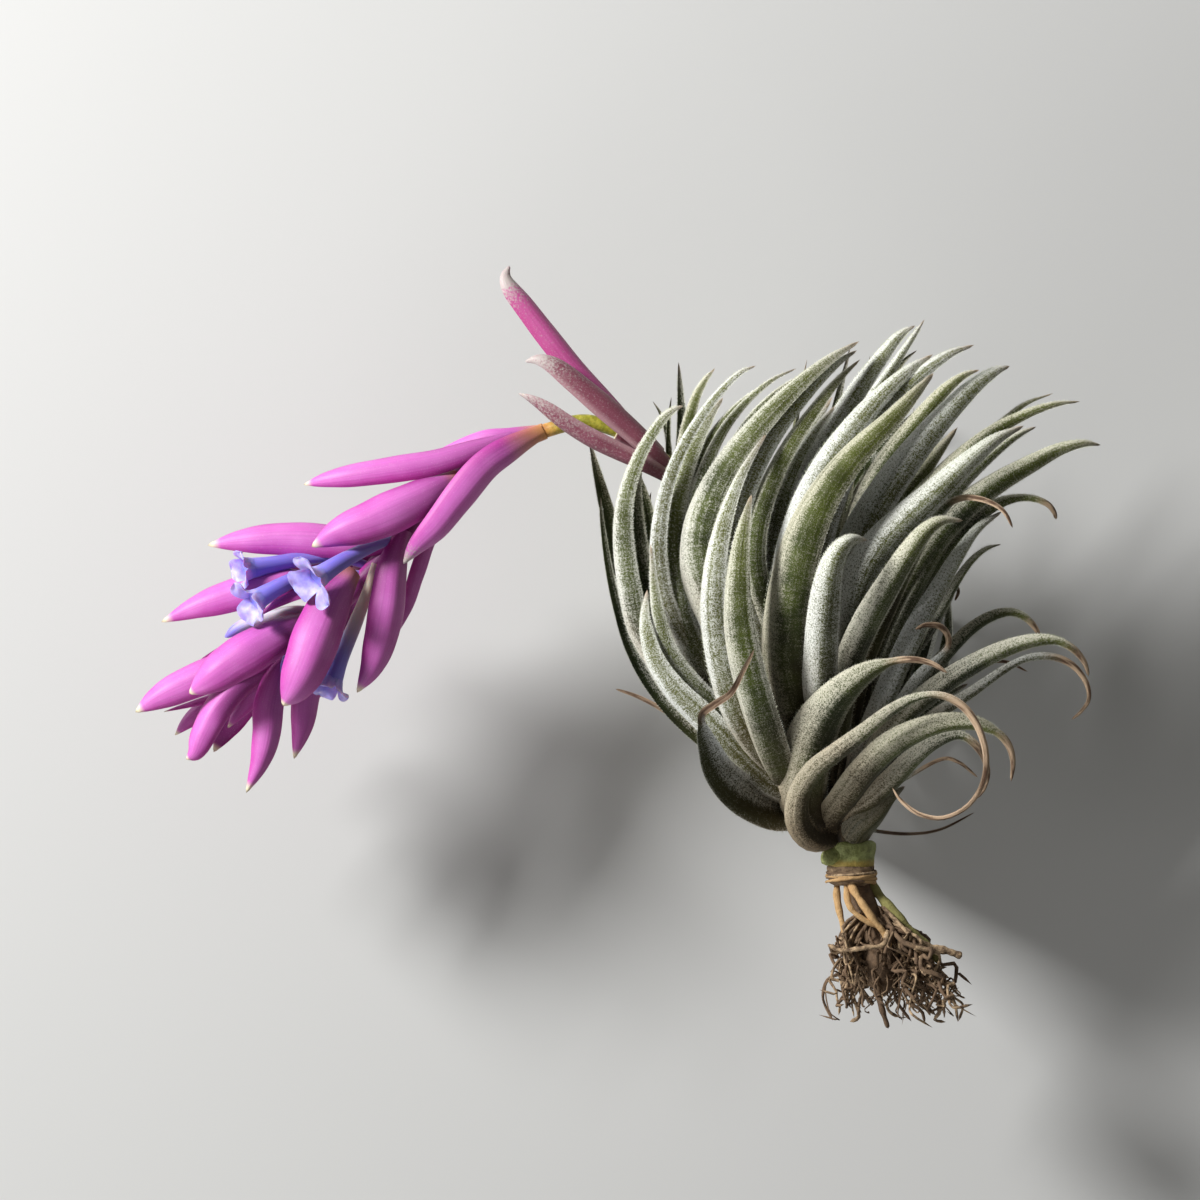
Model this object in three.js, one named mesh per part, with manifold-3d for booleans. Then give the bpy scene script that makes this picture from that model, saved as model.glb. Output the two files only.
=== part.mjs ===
// A tillandsia carminea in flower, picked and laid on its side on a table.
// A tuft of channelled silver-green leaves grows from a short rooted stem, and a scape carries
// a drooping head of pink bracts with violet flowers.
// Millimetres. X runs from the flower head to the leaf tips, Y from the roots to the leaf tips,
// and Z is up from the table, which is at Z 0.

import * as THREE from "three";
import { mergeVertices } from "three/addons/utils/BufferGeometryUtils.js";
import Module from "manifold-3d";

// Driving dimensions, in millimetres
const AXIS_HEIGHT = 38;
const CLEARANCE = 0.3;
const LEAF_THICKNESS = 0.8;
const SCAPE_RADIUS = 1.35;
const STEM_RADIUS = 4.2;
const STEM_LENGTH = 5;
const HIDDEN_LEAVES = 20;
const WIRY_ROOTS = 13;
const SMALLEST_DETAIL = 0.08;

// The leaves in front turn their broad sides up at least this steeply, and are rooted this far down
const SHOWN_STEEPNESS = 1.3;
const ROOT_DROP = 4;
const SEED = 7;

// Blade sections, as [across, depth] shares of the blade's width, depth measured from its open side
const KEEL_SHARE = 0.4;
const BRACT_KEEL_SHARE = 0.42;

// Blade outlines, as [share of the length, share of the full width]
const LEAF_OUTLINE = [[0, 0.72], [0.15, 0.9], [0.3, 1], [0.5, 0.92], [0.75, 0.56], [0.92, 0.26], [1, 0]];
const BRACT_OUTLINE = [[0, 0.42], [0.2, 0.84], [0.45, 1], [0.7, 0.84], [0.88, 0.44], [0.96, 0.18], [1, 0]];
const DRY_TIP_WIDTH = 1.5;

// Flower outlines, in millimetres: the tube's and the bud's radius, and a lobe's full width
const TUBE_GIRTH = [[0, 0.7], [0.45, 1.25], [0.8, 1.7], [0.97, 2.1], [1, 0]];
const BUD_GIRTH = [[0, 0.7], [0.4, 1], [0.8, 1.15], [1, 0]];
const LOBE_OUTLINE = [[0, 4], [0.35, 5.4], [0.65, 6], [0.9, 4.4], [1, 0]];

const wasm = await Module();
wasm.setup();

// The seeded draw that places what the photograph does not show
let drawState = SEED;
function draw(low, high) {
  drawState = (drawState * 16807) % 2147483647;
  return low + (high - low) * (drawState / 2147483647);
}

function point(x, y, z) {
  return new THREE.Vector3(x, y, z);
}

// Turns a closed geometry into a solid that can be joined and cut
function solidOf(geometry) {
  geometry.deleteAttribute("normal");
  geometry.deleteAttribute("uv");
  const merged = mergeVertices(geometry, 1e-4);
  return new wasm.Manifold(new wasm.Mesh({
    numProp: 3,
    vertProperties: Float32Array.from(merged.attributes.position.array),
    triVerts: Uint32Array.from(merged.index.array),
  }));
}

function join(solids) {
  return solids.reduce((sum, solid) => sum.add(solid));
}

// Keeps the largest body, so that sealed pockets are filled and loose scraps dropped
function largestBody(solid) {
  return solid.decompose().reduce((best, body) => (body.volume() > best.volume() ? body : best));
}

function meshOf(name, solid, colour, roughness) {
  const shape = largestBody(solid.simplify(SMALLEST_DETAIL)).getMesh();
  const geometry = new THREE.BufferGeometry();
  geometry.setAttribute("position", new THREE.BufferAttribute(shape.vertProperties, 3));
  geometry.setIndex(new THREE.BufferAttribute(shape.triVerts, 1));
  const material = new THREE.MeshStandardMaterial({ color: colour, roughness, metalness: 0 });
  const mesh = new THREE.Mesh(geometry, material);
  mesh.name = name;
  return mesh;
}

// The value at a share of the length, from a list of [share, value] corners
function along(corners, share) {
  const next = corners.findIndex((corner) => corner[0] >= share);
  if (next <= 0) {
    return corners[0][1];
  }
  const [fromShare, fromValue] = corners[next - 1];
  const [toShare, toValue] = corners[next];
  return fromValue + ((toValue - fromValue) * (share - fromShare)) / (toShare - fromShare);
}

// A smooth line through [x, y] points, with its height led through three values: base, middle, tip.
// A root is a point that the line starts from.
function risingLine(line, heights, root) {
  const [base, middle, tip] = heights;
  const points = line.map(([x, y], index) => {
    const share = index / (line.length - 1);
    const height = base * (1 - share) * (1 - 2 * share) + 4 * middle * share * (1 - share)
      + tip * share * (2 * share - 1);
    return point(x, y, height);
  });
  return new THREE.CatmullRomCurve3(root ? [root, ...points] : points, false, "catmullrom", 0.5);
}

// Bends a cone's skin along a line. Each corner of the section is [across, depth] at a share of the length
function sweep(curve, sectionAt, openTowards, sides, rings) {
  const geometry = new THREE.ConeGeometry(1, 1, sides, rings);
  const position = geometry.attributes.position;
  const turn = (2 * Math.PI) / sides;
  for (let index = 0; index < position.count; index += 1) {
    const share = position.getY(index) + 0.5;
    const radius = Math.hypot(position.getX(index), position.getZ(index));
    const centre = curve.getPoint(share);
    if (share < 1 - 1e-6) {
      const section = sectionAt(share);
      const angle = Math.atan2(position.getX(index), position.getZ(index));
      const corner = Math.round(angle / turn + sides) % sides;
      const middle = [0, (section[0][1] + section[sides / 2][1]) / 2];
      const [across, depth] = radius > 1e-6 ? section[corner] : middle;
      const tangent = curve.getTangent(share);
      const open = openTowards.clone().addScaledVector(tangent, -tangent.dot(openTowards)).normalize();
      const side = new THREE.Vector3().crossVectors(open, tangent);
      centre.addScaledVector(side, across).addScaledVector(open, depth);
    }
    position.setXYZ(index, centre.x, centre.y, centre.z);
  }
  return solidOf(geometry);
}

// A round tapering tube along a line, with a closed blunt start and a pointed end
function taper(curve, radiusAt, sides, rings) {
  const section = (share) => {
    const radius = radiusAt(share);
    return Array.from({ length: sides }, (_, corner) => {
      const angle = (2 * Math.PI * corner) / sides;
      return [radius * Math.sin(angle), -radius * Math.cos(angle)];
    });
  };
  return sweep(curve, section, point(0.11, 0.07, 1), sides, rings);
}

// The middle line of the leaf tuft, from its root end to the middle of the tips
const tuftAxis = new THREE.CatmullRomCurve3([
  point(41, -34, AXIS_HEIGHT),
  point(37, -18, AXIS_HEIGHT + 1),
  point(36, 2, AXIS_HEIGHT + 2),
  point(42, 24, AXIS_HEIGHT + 3),
  point(52, 44, AXIS_HEIGHT + 4),
]);

// A leaf's channel opens towards the middle of the tuft. Its steepness is the least slope of that way.
function openingOf(curve, steepness) {
  const shares = [0.2, 0.35, 0.5, 0.65];
  const way = point(0, 0, 0);
  shares.forEach((share) => way.add(tuftAxis.getPoint(share)).sub(curve.getPoint(share)));
  const rise = Math.max(Math.abs(way.z), steepness * Math.hypot(way.x, way.y), 1);
  return way.setZ(way.z > 0 ? rise : -rise).normalize();
}

// A leaf is rooted in the middle of the tuft, a little below where it comes out
function rootOf([, y]) {
  const [from, , to] = tuftAxis.points;
  return tuftAxis.getPoint(Math.max(0, (0.5 * (y - ROOT_DROP - from.y)) / (to.y - from.y)));
}

// The live part of a leaf narrows to its dry tip, a thin strip from the share dryFrom on
function leafWidth(width, share, dryFrom) {
  const strip = Math.min(DRY_TIP_WIDTH, 0.5 * width);
  if (dryFrom === 1) {
    return width * along(LEAF_OUTLINE, share);
  }
  if (share <= dryFrom) {
    return Math.max(width * along(LEAF_OUTLINE, share / dryFrom), strip);
  }
  return strip * ((1 - share) / (1 - dryFrom)) ** 0.35;
}

function leafSolid({ width, heights, line, dryFrom = 1, opens, steepness = SHOWN_STEEPNESS }) {
  const curve = risingLine(line, heights, steepness ? rootOf(line[0]) : undefined);
  const open = opens ? point(...opens) : openingOf(curve, steepness);
  const rings = Math.max(5, Math.round(line.length * (width < 3.7 ? 0.65 : 0.8)));
  const section = (share) => {
    const half = Math.max(leafWidth(width, share, dryFrom), LEAF_THICKNESS) / 2;
    const keel = KEEL_SHARE * 2 * half;
    const thickness = Math.max(LEAF_THICKNESS, 0.3 * keel + 0.3);
    return [[0, -keel], [half, 0], [0, thickness - keel], [-half, 0]];
  };
  return sweep(curve, section, open, 4, rings);
}

// Leaves that the photograph shows, each with its full width, its height above the table at its base,
// middle and tip, and its middle line from base to tip. dryFrom is where a dry curled tip begins.
const seenLeaves = [
  // Lower left
  { width: 8.3, heights: [43, 59, 68], dryFrom: 0.6, opens: [0.3, 0.2, 1], line: [[33, -29.4], [28, -29],
    [22.7, -26.6], [18.4, -22.6], [16.2, -18], [15, -14.3], [15, -11.8], [17.2, -10], [20, -8], [22, -4.4],
    [24.1, -0.3]] },
  { width: 6.6, heights: [43, 51, 50], line: [[34, -27], [28, -25], [22, -19.5], [16, -13.3], [10.5, -8],
    [7, -3], [5.3, 2], [4.8, 6], [5.2, 10.3]] },
  { width: 2.8, heights: [38, 40, 42], line: [[33, -28], [22, -22], [12, -14], [6, -7], [2.2, 0], [0, 7],
    [-1.4, 13], [-2.4, 19], [-3, 24], [-3.1, 27]] },
  { width: 2.6, heights: [36, 30, 28], dryFrom: 0.5, line: [[34, -28], [22, -22], [13, -14.5],
    [7.5, -11], [3.5, -9], [-0.5, -7.6]] },
  // Upper left
  { width: 5.4, heights: [40, 47, 50], line: [[33, -24], [20, -14], [9, -4], [4, 3], [2.2, 10],
    [1.2, 17], [1, 23], [1.8, 28.5], [4, 34.5], [7.3, 40], [9.6, 42.3], [11.6, 43.2]] },
  { width: 5.4, heights: [36, 33, 32], line: [[33, -22], [16, -8], [6, 4], [1, 14], [-1.8, 24],
    [-3.6, 31], [-5.2, 37.5]] },
  { width: 4.2, heights: [38, 36, 34], line: [[34, -22], [18, -6], [9, 6], [6.8, 16], [5.2, 25],
    [3.4, 31], [1.6, 36.2]] },
  { width: 5.2, heights: [42, 50, 53], line: [[34, -24], [24, -17], [15.5, -9], [9.5, -1.5], [7.4, 5],
    [6.4, 11], [5.8, 18.5]] },
  { width: 4, heights: [42, 50, 53], line: [[35, -22], [24, -12], [14, -2], [9, 7], [7.4, 15],
    [7.4, 21], [8.6, 28], [11.2, 35], [15, 41.5], [19, 46.5], [22, 49.2], [24.6, 50.3]] },
  { width: 7.1, heights: [42, 46, 46], line: [[35, -22], [25, -14], [17, -6], [12, 2], [10.2, 10],
    [9.6, 18], [10.4, 25], [12.2, 32], [14.6, 38], [16.8, 42], [18.8, 44.7]] },
  { width: 4, heights: [40, 42, 42], line: [[36, -20], [24, -4], [15, 12], [11.5, 26], [11.8, 36],
    [13.5, 43.5], [15.4, 47.6], [17.4, 50.1]] },
  { width: 4, heights: [38, 38, 38], line: [[35, -20], [22, -2], [13, 14], [11, 28], [11.6, 38],
    [11.3, 45], [10.9, 51.3]] },
  { width: 2, heights: [38, 38, 38], line: [[35, -20], [20, 0], [11, 18], [9.3, 32], [9.1, 40],
    [9.6, 45]] },
  { width: 1.6, heights: [36, 34, 34], line: [[34, -20], [18, 2], [10.5, 20], [9.2, 36], [7.9, 41.5],
    [6.3, 44.3]] },
  { width: 2.4, heights: [42, 46, 44], line: [[35, -20], [22, -4], [15, 10], [13, 22], [14, 31],
    [16.6, 37.6], [20, 42], [23.5, 45.2], [27, 47.4]] },
  { width: 3.5, heights: [42, 48, 46], line: [[35, -20], [23.2, -4.2], [15.5, 8], [12.7, 18], [13.3, 25.5],
    [15.8, 32.5], [19, 39], [23, 44], [27.5, 47.8], [32, 50]] },
  { width: 3.5, heights: [40, 42, 42], line: [[36, -18], [25, 0], [18, 16], [18.5, 30], [22.5, 39],
    [27.5, 45], [33.4, 49.3]] },
  // Middle, with the tips at the top
  { width: 8.3, heights: [43, 52, 48], line: [[36, -20], [27, -6], [19.5, 4], [15.2, 13], [14.8, 20.5],
    [17, 27.5], [21, 34.5], [26.3, 41], [32, 46.7], [38, 51.6], [43.2, 54.8]] },
  { width: 6.6, heights: [42, 50, 47], line: [[36, -20], [29, -6], [23.5, 6], [20.8, 17], [21.6, 25.5],
    [24.6, 33], [29, 40], [34.3, 46.3], [39, 50.8], [42.8, 53.2]] },
  { width: 7.1, heights: [43, 59, 53], line: [[33, -24], [26.5, -19.5], [21.4, -12], [18.6, -4], [17.3, 4],
    [17.1, 11], [17.9, 18], [19.7, 25], [22.4, 31.6], [26.9, 39]] },
  { width: 8, heights: [43, 64, 60], line: [[32, -25], [28.5, -20], [25.8, -13], [23.4, -5], [21.7, 3],
    [21.2, 10], [21.6, 17], [22.5, 22.5], [23.7, 27.2]] },
  { width: 5.4, heights: [42, 50, 46], line: [[36, -18], [31, -6], [27, 4], [24.3, 13], [24.6, 21],
    [27.2, 29], [31, 36.5], [35.5, 43], [39.5, 48], [43.4, 51.6]] },
  { width: 5.2, heights: [42, 45, 44], line: [[37, -18], [32, -4], [28.6, 8], [27.6, 17], [29, 25.5],
    [32, 33], [35.5, 39], [39, 43.4]] },
  { width: 5.4, heights: [42, 44, 44], line: [[38, -16], [35, 0], [33, 14], [33.6, 26], [37, 36],
    [41, 43], [45, 49], [48.8, 54], [51, 56.3], [53.3, 57.7]] },
  { width: 3.5, heights: [40, 40, 40], line: [[38, -16], [37, 2], [37, 18], [39.5, 32], [44, 42],
    [48.5, 49], [52.5, 55], [55.1, 58.9]] },
  { width: 2.6, heights: [38, 38, 38], line: [[38, -16], [38, 4], [39, 22], [43, 36], [47.5, 45.5],
    [51, 51], [53.8, 53.4]] },
  { width: 7.6, heights: [43, 54, 50], line: [[37, -20], [33, -6], [31, 6], [31.4, 16], [33.8, 25],
    [37.6, 33], [42.2, 39.5], [47, 45], [52, 49.6], [56.3, 52.4]] },
  { width: 6.6, heights: [42, 51, 50], line: [[38, -18], [35.5, -4], [34.5, 8], [35.5, 19], [38.5, 28.5],
    [43, 36.5], [48, 43], [53.5, 48.4], [59, 52.3], [63.7, 54.1]] },
  { width: 9.2, heights: [44, 62, 54], line: [[35, -25], [31.8, -15], [29.8, -5], [29.7, 3], [30.9, 12],
    [33.4, 20.5], [37.3, 28], [42.5, 34.6], [48.3, 40.3], [52.8, 45.2], [56.3, 49]] },
  { width: 6.4, heights: [44, 65, 64], line: [[35, -22], [35.6, -13], [36, -5], [36.3, 3], [36.9, 10],
    [37.8, 14.6], [39.4, 17.7], [41.6, 19.3], [44.2, 19.1]] },
  // Upper right
  { width: 4.7, heights: [40, 42, 42], line: [[40, -14], [39.5, 2], [41, 16], [44.6, 27], [49, 34.5],
    [54, 41], [58.5, 46], [62, 48.7], [64.9, 49.8]] },
  { width: 6.6, heights: [42, 47, 46], line: [[40, -16], [39, -2], [39.8, 10], [43.3, 20.5],
    [48.3, 28.6], [53.7, 35.8], [59, 42], [63.8, 46.8], [67.5, 49.4], [70.2, 50.4]] },
  { width: 2.6, heights: [40, 42, 42], line: [[41, -14], [42.5, 4], [48, 18], [56, 28.5], [63, 35.5],
    [68.5, 40], [73, 43.6], [78.2, 45.6]] },
  { width: 4, heights: [42, 46, 44], line: [[41, -16], [41.5, 0], [45.5, 13.5], [52, 24], [59, 31.8],
    [66, 37.8], [72, 41.3], [78, 43.5], [82.9, 44.1]] },
  { width: 7.8, heights: [43, 57, 52], line: [[38.5, -22], [38.8, -10], [40, 1], [42.2, 10],
    [46.2, 17.2], [51.2, 22.8], [57, 28.2], [62.5, 33.3], [67.5, 37.2], [72.5, 39.6]] },
  { width: 4.2, heights: [42, 50, 48], line: [[41, -18], [42.3, -4], [46, 7], [51, 16], [56.4, 23.8],
    [62, 30.2], [67.5, 35.2], [71.5, 38], [74.9, 39.5]] },
  { width: 5.2, heights: [40, 44, 42], line: [[42, -18], [45, -3], [50, 8.5], [55.8, 18], [62, 25],
    [68, 29.4], [74, 32.8], [79, 35.4], [83.5, 36.6], [86.7, 36.3]] },
  { width: 4, heights: [42, 54, 58], dryFrom: 0.6, line: [[41, -16], [44, -3], [48.5, 8], [53, 17.5],
    [56.2, 22.6], [58.8, 25.6], [61.8, 26.7], [64.8, 26.4], [67.6, 25.2], [69.2, 23.6], [70.3, 21.3]] },
  { width: 3.5, heights: [40, 42, 44], dryFrom: 0.8, line: [[42, -17], [47, -2], [53, 9], [58.5, 17],
    [63, 22], [67, 25.2], [71, 26.7], [74.5, 26.7], [77, 25.7], [78.2, 24.3], [78.6, 22.9]] },
  { width: 5.9, heights: [44, 60, 61], line: [[38, -22], [39.5, -12], [41.2, -3], [44, 4], [47.6, 10.5],
    [51.3, 16.6], [54.4, 20.6], [57.5, 22.6], [61.4, 22.6]] },
  // Right
  { width: 5.4, heights: [42, 46, 42], line: [[41, -24], [45.5, -14], [49.3, -5], [53, 3], [57, 9.8],
    [60.8, 16.2], [64.5, 21.3], [69, 24.4]] },
  { width: 2.4, heights: [40, 40, 40], line: [[43, -20], [49, -7], [55, 2], [58.4, 7.5], [61, 12],
    [63.6, 15.6], [66.2, 17.7], [68.9, 18.5]] },
  { width: 2, heights: [40, 38, 36], dryFrom: 0.7, line: [[43, -20], [50, -6], [56.5, 3], [59.6, 8.3],
    [60.7, 10.8], [61.3, 9.9], [60.7, 8.3]] },
  { width: 4.7, heights: [42, 50, 53], dryFrom: 0.6, line: [[41, -27], [46, -19], [50.5, -11], [54, -5.3],
    [57, -2.2], [58.9, 0], [58.9, 2.2], [57.4, 3.8], [55, 4], [53, 3.2]] },
  { width: 3.3, heights: [40, 41, 42], dryFrom: 0.85, line: [[43, -26], [48, -16], [53.6, -7.8],
    [58.5, -1.7], [63, 2.9], [67, 5.5], [70.5, 6.3], [73.2, 5.3], [75, 3.4], [75.9, 1.5]] },
  { width: 5.2, heights: [43, 51, 48], dryFrom: 0.82, line: [[42, -26], [46, -18.5], [51, -12.4],
    [56.5, -7.7], [62, -3.9], [68, -0.7], [73.5, 1.1], [78, 1.3], [81.3, -0.2], [83.4, -2.6],
    [84.3, -5.2]] },
  { width: 2.8, heights: [40, 40, 38], dryFrom: 0.6, line: [[43, -26], [50, -18], [57, -12.3],
    [63, -8.5], [69, -4.3], [73.5, -2], [78, -1.7], [81.7, -3.2], [84.2, -6.3], [84.7, -9.3],
    [83.4, -11.5], [81.6, -13.1]] },
  { width: 1.8, heights: [40, 34, 32], dryFrom: 0.5, line: [[44, -22], [52, -13], [60, -6.5], [66, -3.2],
    [70, -2.7], [74, -4.5]] },
  // Lower right, with the curled tips
  { width: 9.4, heights: [44, 61, 66], dryFrom: 0.74, line: [[34, -29], [33.2, -23], [34, -17],
    [36.4, -11.8], [39.8, -7.6], [43.8, -4.4], [48, -2.6], [52, -2.1], [55.6, -2.8], [58.4, -4.5]] },
  { width: 5.2, heights: [44, 64, 58], dryFrom: 0.5, line: [[35.6, -34.8], [32.4, -31.5], [32.3, -26.5],
    [34.7, -22], [38.8, -18.6], [43.5, -15], [48, -11.4], [52.5, -8.9], [57, -8.4], [60.7, -10],
    [63.3, -13], [64.9, -17], [65.3, -21], [64.3, -25], [61.6, -28.5], [57.5, -30.3], [53.5, -29.6],
    [50.4, -27.3], [48.8, -24.9]] },
  { width: 7.1, heights: [42, 57, 58], dryFrom: 0.78, line: [[38, -31], [40.8, -26.6], [44.2, -21.8],
    [48.3, -17.5], [53, -14.8], [58, -13.3], [63, -13.3], [67, -14.8], [69.4, -17.2], [70.3, -20.4],
    [70, -23.9]] },
  { width: 5.4, heights: [42, 50, 52], dryFrom: 0.66, line: [[41, -30], [45, -27.3], [49, -23.6],
    [52.6, -19.8], [56.4, -17], [60.3, -15.6], [63, -16.6], [65.2, -19.2], [66, -22.3], [65.5, -25],
    [64.2, -27]] },
  { width: 2, heights: [40, 44, 44], dryFrom: 0.5, line: [[42, -29], [50, -24.5], [57.5, -20.3],
    [61, -20.6], [64.6, -23.4]] },
  { width: 6.4, heights: [40, 43, 42], line: [[41.9, -34.2], [43.5, -32.2], [45.8, -30], [48.5, -27.4],
    [51.5, -25]] },
  { width: 1.8, heights: [36, 30, 26], dryFrom: 0.4, line: [[40, -32], [47, -33.3], [53, -33.8],
    [58.5, -33], [64.6, -30]] },
  // Inside the tuft, seen between the others
  { width: 6, heights: [37, 40, 42], line: [[33, -22], [20, -8], [9, 4], [4.6, 14], [3.2, 24],
    [3.4, 32], [5, 38]] },
  { width: 7, heights: [38, 41, 42], line: [[34, -20], [24, -4], [15, 10], [12.4, 20], [13, 30],
    [15.5, 38]] },
  { width: 7.4, heights: [38, 42, 42], line: [[35, -20], [28, -2], [21.5, 12], [19.5, 24], [22, 34],
    [27, 42]] },
  { width: 7.4, heights: [38, 42, 42], line: [[37, -18], [33, 0], [28, 14], [28.5, 26], [33, 36],
    [38.5, 45]] },
  { width: 7.4, heights: [38, 42, 42], line: [[39, -16], [39, 2], [37, 16], [39, 28], [44, 38], [49, 46]] },
  { width: 7.4, heights: [38, 42, 42], line: [[41, -16], [43, 0], [44, 12], [49, 23], [55, 32],
    [61, 39.5]] },
  { width: 7, heights: [38, 42, 42], line: [[42, -18], [46, -4], [51, 8], [57, 18], [63, 26], [69, 32]] },
  { width: 6.4, heights: [38, 40, 40], line: [[42, -22], [47, -11], [51.5, -2], [55, 4.5], [58, 10]] },
  { width: 5.4, heights: [38, 38, 38], line: [[42, -26], [47, -19], [52.5, -13.4], [58, -9.4],
    [63, -6.6]] },
  { width: 6.4, heights: [37, 34, 33], line: [[33, -26], [24, -20], [15, -11], [8, -2], [4.6, 8],
    [4, 18], [6, 28]] },
];

// The far side and the inside of the tuft, placed by the golden angle with a seeded draw
const GOLDEN_SHARE = 0.381966;
const CORE_RADIUS = 4;
const SIDE_LEAN = 0.65;

function hiddenLeaf(index) {
  const age = index / HIDDEN_LEAVES;
  const turn = Math.PI * (1.03 + 0.94 * ((index * GOLDEN_SHARE) % 1));
  const belly = 13 + 18 * age + draw(-2, 1);
  const tipOut = 8 + 21 * age + draw(-3, 2);
  const reach = 74 - 38 * age + draw(-5, 5);
  const sweepRight = 5 + 3 * age + draw(-3, 3);
  const between = (share) => CORE_RADIUS * (1 - share) * (1 - 2 * share) + 4 * belly * share * (1 - share)
    + tipOut * share * (2 * share - 1);
  const line = [0, 0.2, 0.4, 0.6, 0.8, 1].map((share) => [
    37 + SIDE_LEAN * between(share) * Math.cos(turn) + sweepRight * share * share,
    -20 - 8 * age + reach * share ** (1 + 0.3 * age),
  ]);
  const heights = [CORE_RADIUS, belly, tipOut].map((out) => AXIS_HEIGHT + out * Math.sin(turn));
  return { width: 4 + 2.4 * age + draw(-0.4, 0.6), line, heights, steepness: 0 };
}

// The low leaves that the plant lies on
const restingLeaves = [
  { steepness: 0, width: 6.2, heights: [34, -0.6, 20], line: [[33, -28], [26, -24], [18.5, -17.5],
    [12, -10.5], [8.4, -3], [7.5, 5], [9, 13]] },
  { steepness: 0, width: 6.4, heights: [34, 2.8, 10], line: [[33, -26], [25, -20], [16, -9], [10, 3],
    [8, 14], [9.5, 26], [15, 37]] },
  { steepness: 0, width: 6, heights: [34, 5.5, 9], line: [[35, -25], [29, -17], [23, -6], [19, 6],
    [18.5, 19], [22, 31], [28, 42]] },
  { steepness: 0, width: 6.6, heights: [34, 3.6, 7], line: [[37, -24], [35.5, -14], [35, -1],
    [36.5, 12], [41, 25], [48, 36], [56, 44]] },
  { steepness: 0, width: 6.4, heights: [34, 5, 7], line: [[41, -26], [47.5, -17], [52, -8], [54.5, 0],
    [56, 6], [57, 10]] },
  { steepness: 0, width: 5.8, heights: [34, 0.6, 14], line: [[39, -28], [44, -24], [49, -19],
    [53, -15.5], [57, -13], [60, -12.5], [63, -13.5]] },
];

function tuftCore() {
  const line = new THREE.CatmullRomCurve3([point(41.6, -34.4, AXIS_HEIGHT), point(39.5, -27, AXIS_HEIGHT),
    point(37.5, -19, AXIS_HEIGHT), point(36.5, -10, AXIS_HEIGHT)]);
  const girth = [[0, 4.2], [0.2, 6.5], [0.4, 8.5], [0.65, 8.5], [0.85, 6], [1, 0]];
  return taper(line, (share) => along(girth, share), 8, 7);
}

// Scape and flower head

const scapeLine = new THREE.CatmullRomCurve3([point(36.5, -16, AXIS_HEIGHT),
  point(33, -4, AXIS_HEIGHT + 1), point(25, 13, AXIS_HEIGHT + 2), point(14, 28, AXIS_HEIGHT + 3.5),
  point(4, 36.6, AXIS_HEIGHT + 4.5), point(-2, 39.6, AXIS_HEIGHT + 5), point(-7, 40.4, AXIS_HEIGHT + 5),
  point(-12.6, 39, AXIS_HEIGHT + 4.6)]);
const rachisLine = new THREE.CatmullRomCurve3([point(-13.2, 38.8, AXIS_HEIGHT + 4.6),
  point(-19, 36.4, AXIS_HEIGHT + 4), point(-27, 31.6, AXIS_HEIGHT + 3), point(-36, 23.5, AXIS_HEIGHT + 2),
  point(-44, 14, AXIS_HEIGHT + 1), point(-53, 5, AXIS_HEIGHT), point(-62, -3, AXIS_HEIGHT)]);

function tube(curve, radius, sides, steps) {
  const outline = Array.from({ length: sides }, (_, corner) => {
    const angle = (2 * Math.PI * corner) / sides;
    return new THREE.Vector2(radius * Math.cos(angle), radius * Math.sin(angle));
  });
  const options = { steps, bevelEnabled: false, extrudePath: curve };
  return solidOf(new THREE.ExtrudeGeometry(new THREE.Shape(outline), options));
}

function scapeSolid(grow = 0) {
  const radius = SCAPE_RADIUS + grow;
  const shaft = tube(scapeLine, radius, 8, 16);
  if (grow === 0) {
    return shaft;
  }
  const ends = [scapeLine.getPoint(0), scapeLine.getPoint(1)];
  const caps = ends.map((end) => solidOf(new THREE.SphereGeometry(radius, 10, 6).translate(...end)));
  return join([shaft, ...caps]);
}

// A boat-shaped bract. It is grown by some millimetres all round to cut room for it in another body.
function bractSolid({ width, heights, line, opens }, grow = 0) {
  const curve = risingLine(line, heights);
  curve.points[0].addScaledVector(curve.getTangent(0), -grow);
  curve.points.at(-1).addScaledVector(curve.getTangent(1), grow);
  const section = (share) => {
    const half = Math.max((width * along(BRACT_OUTLINE, share)) / 2, 0.45);
    const keel = BRACT_KEEL_SHARE * 2 * half;
    const shoulder = [0.68 * half + grow, -0.66 * keel - grow];
    const edge = [half + 1.5 * grow, grow];
    const inner = 0.35 - 0.45 * keel + grow;
    return [[0, -keel - grow], shoulder, edge, [0, inner], [-edge[0], edge[1]],
      [-shoulder[0], shoulder[1]]];
  };
  return sweep(curve, section, point(...opens), 6, Math.max(6, line.length));
}

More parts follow.
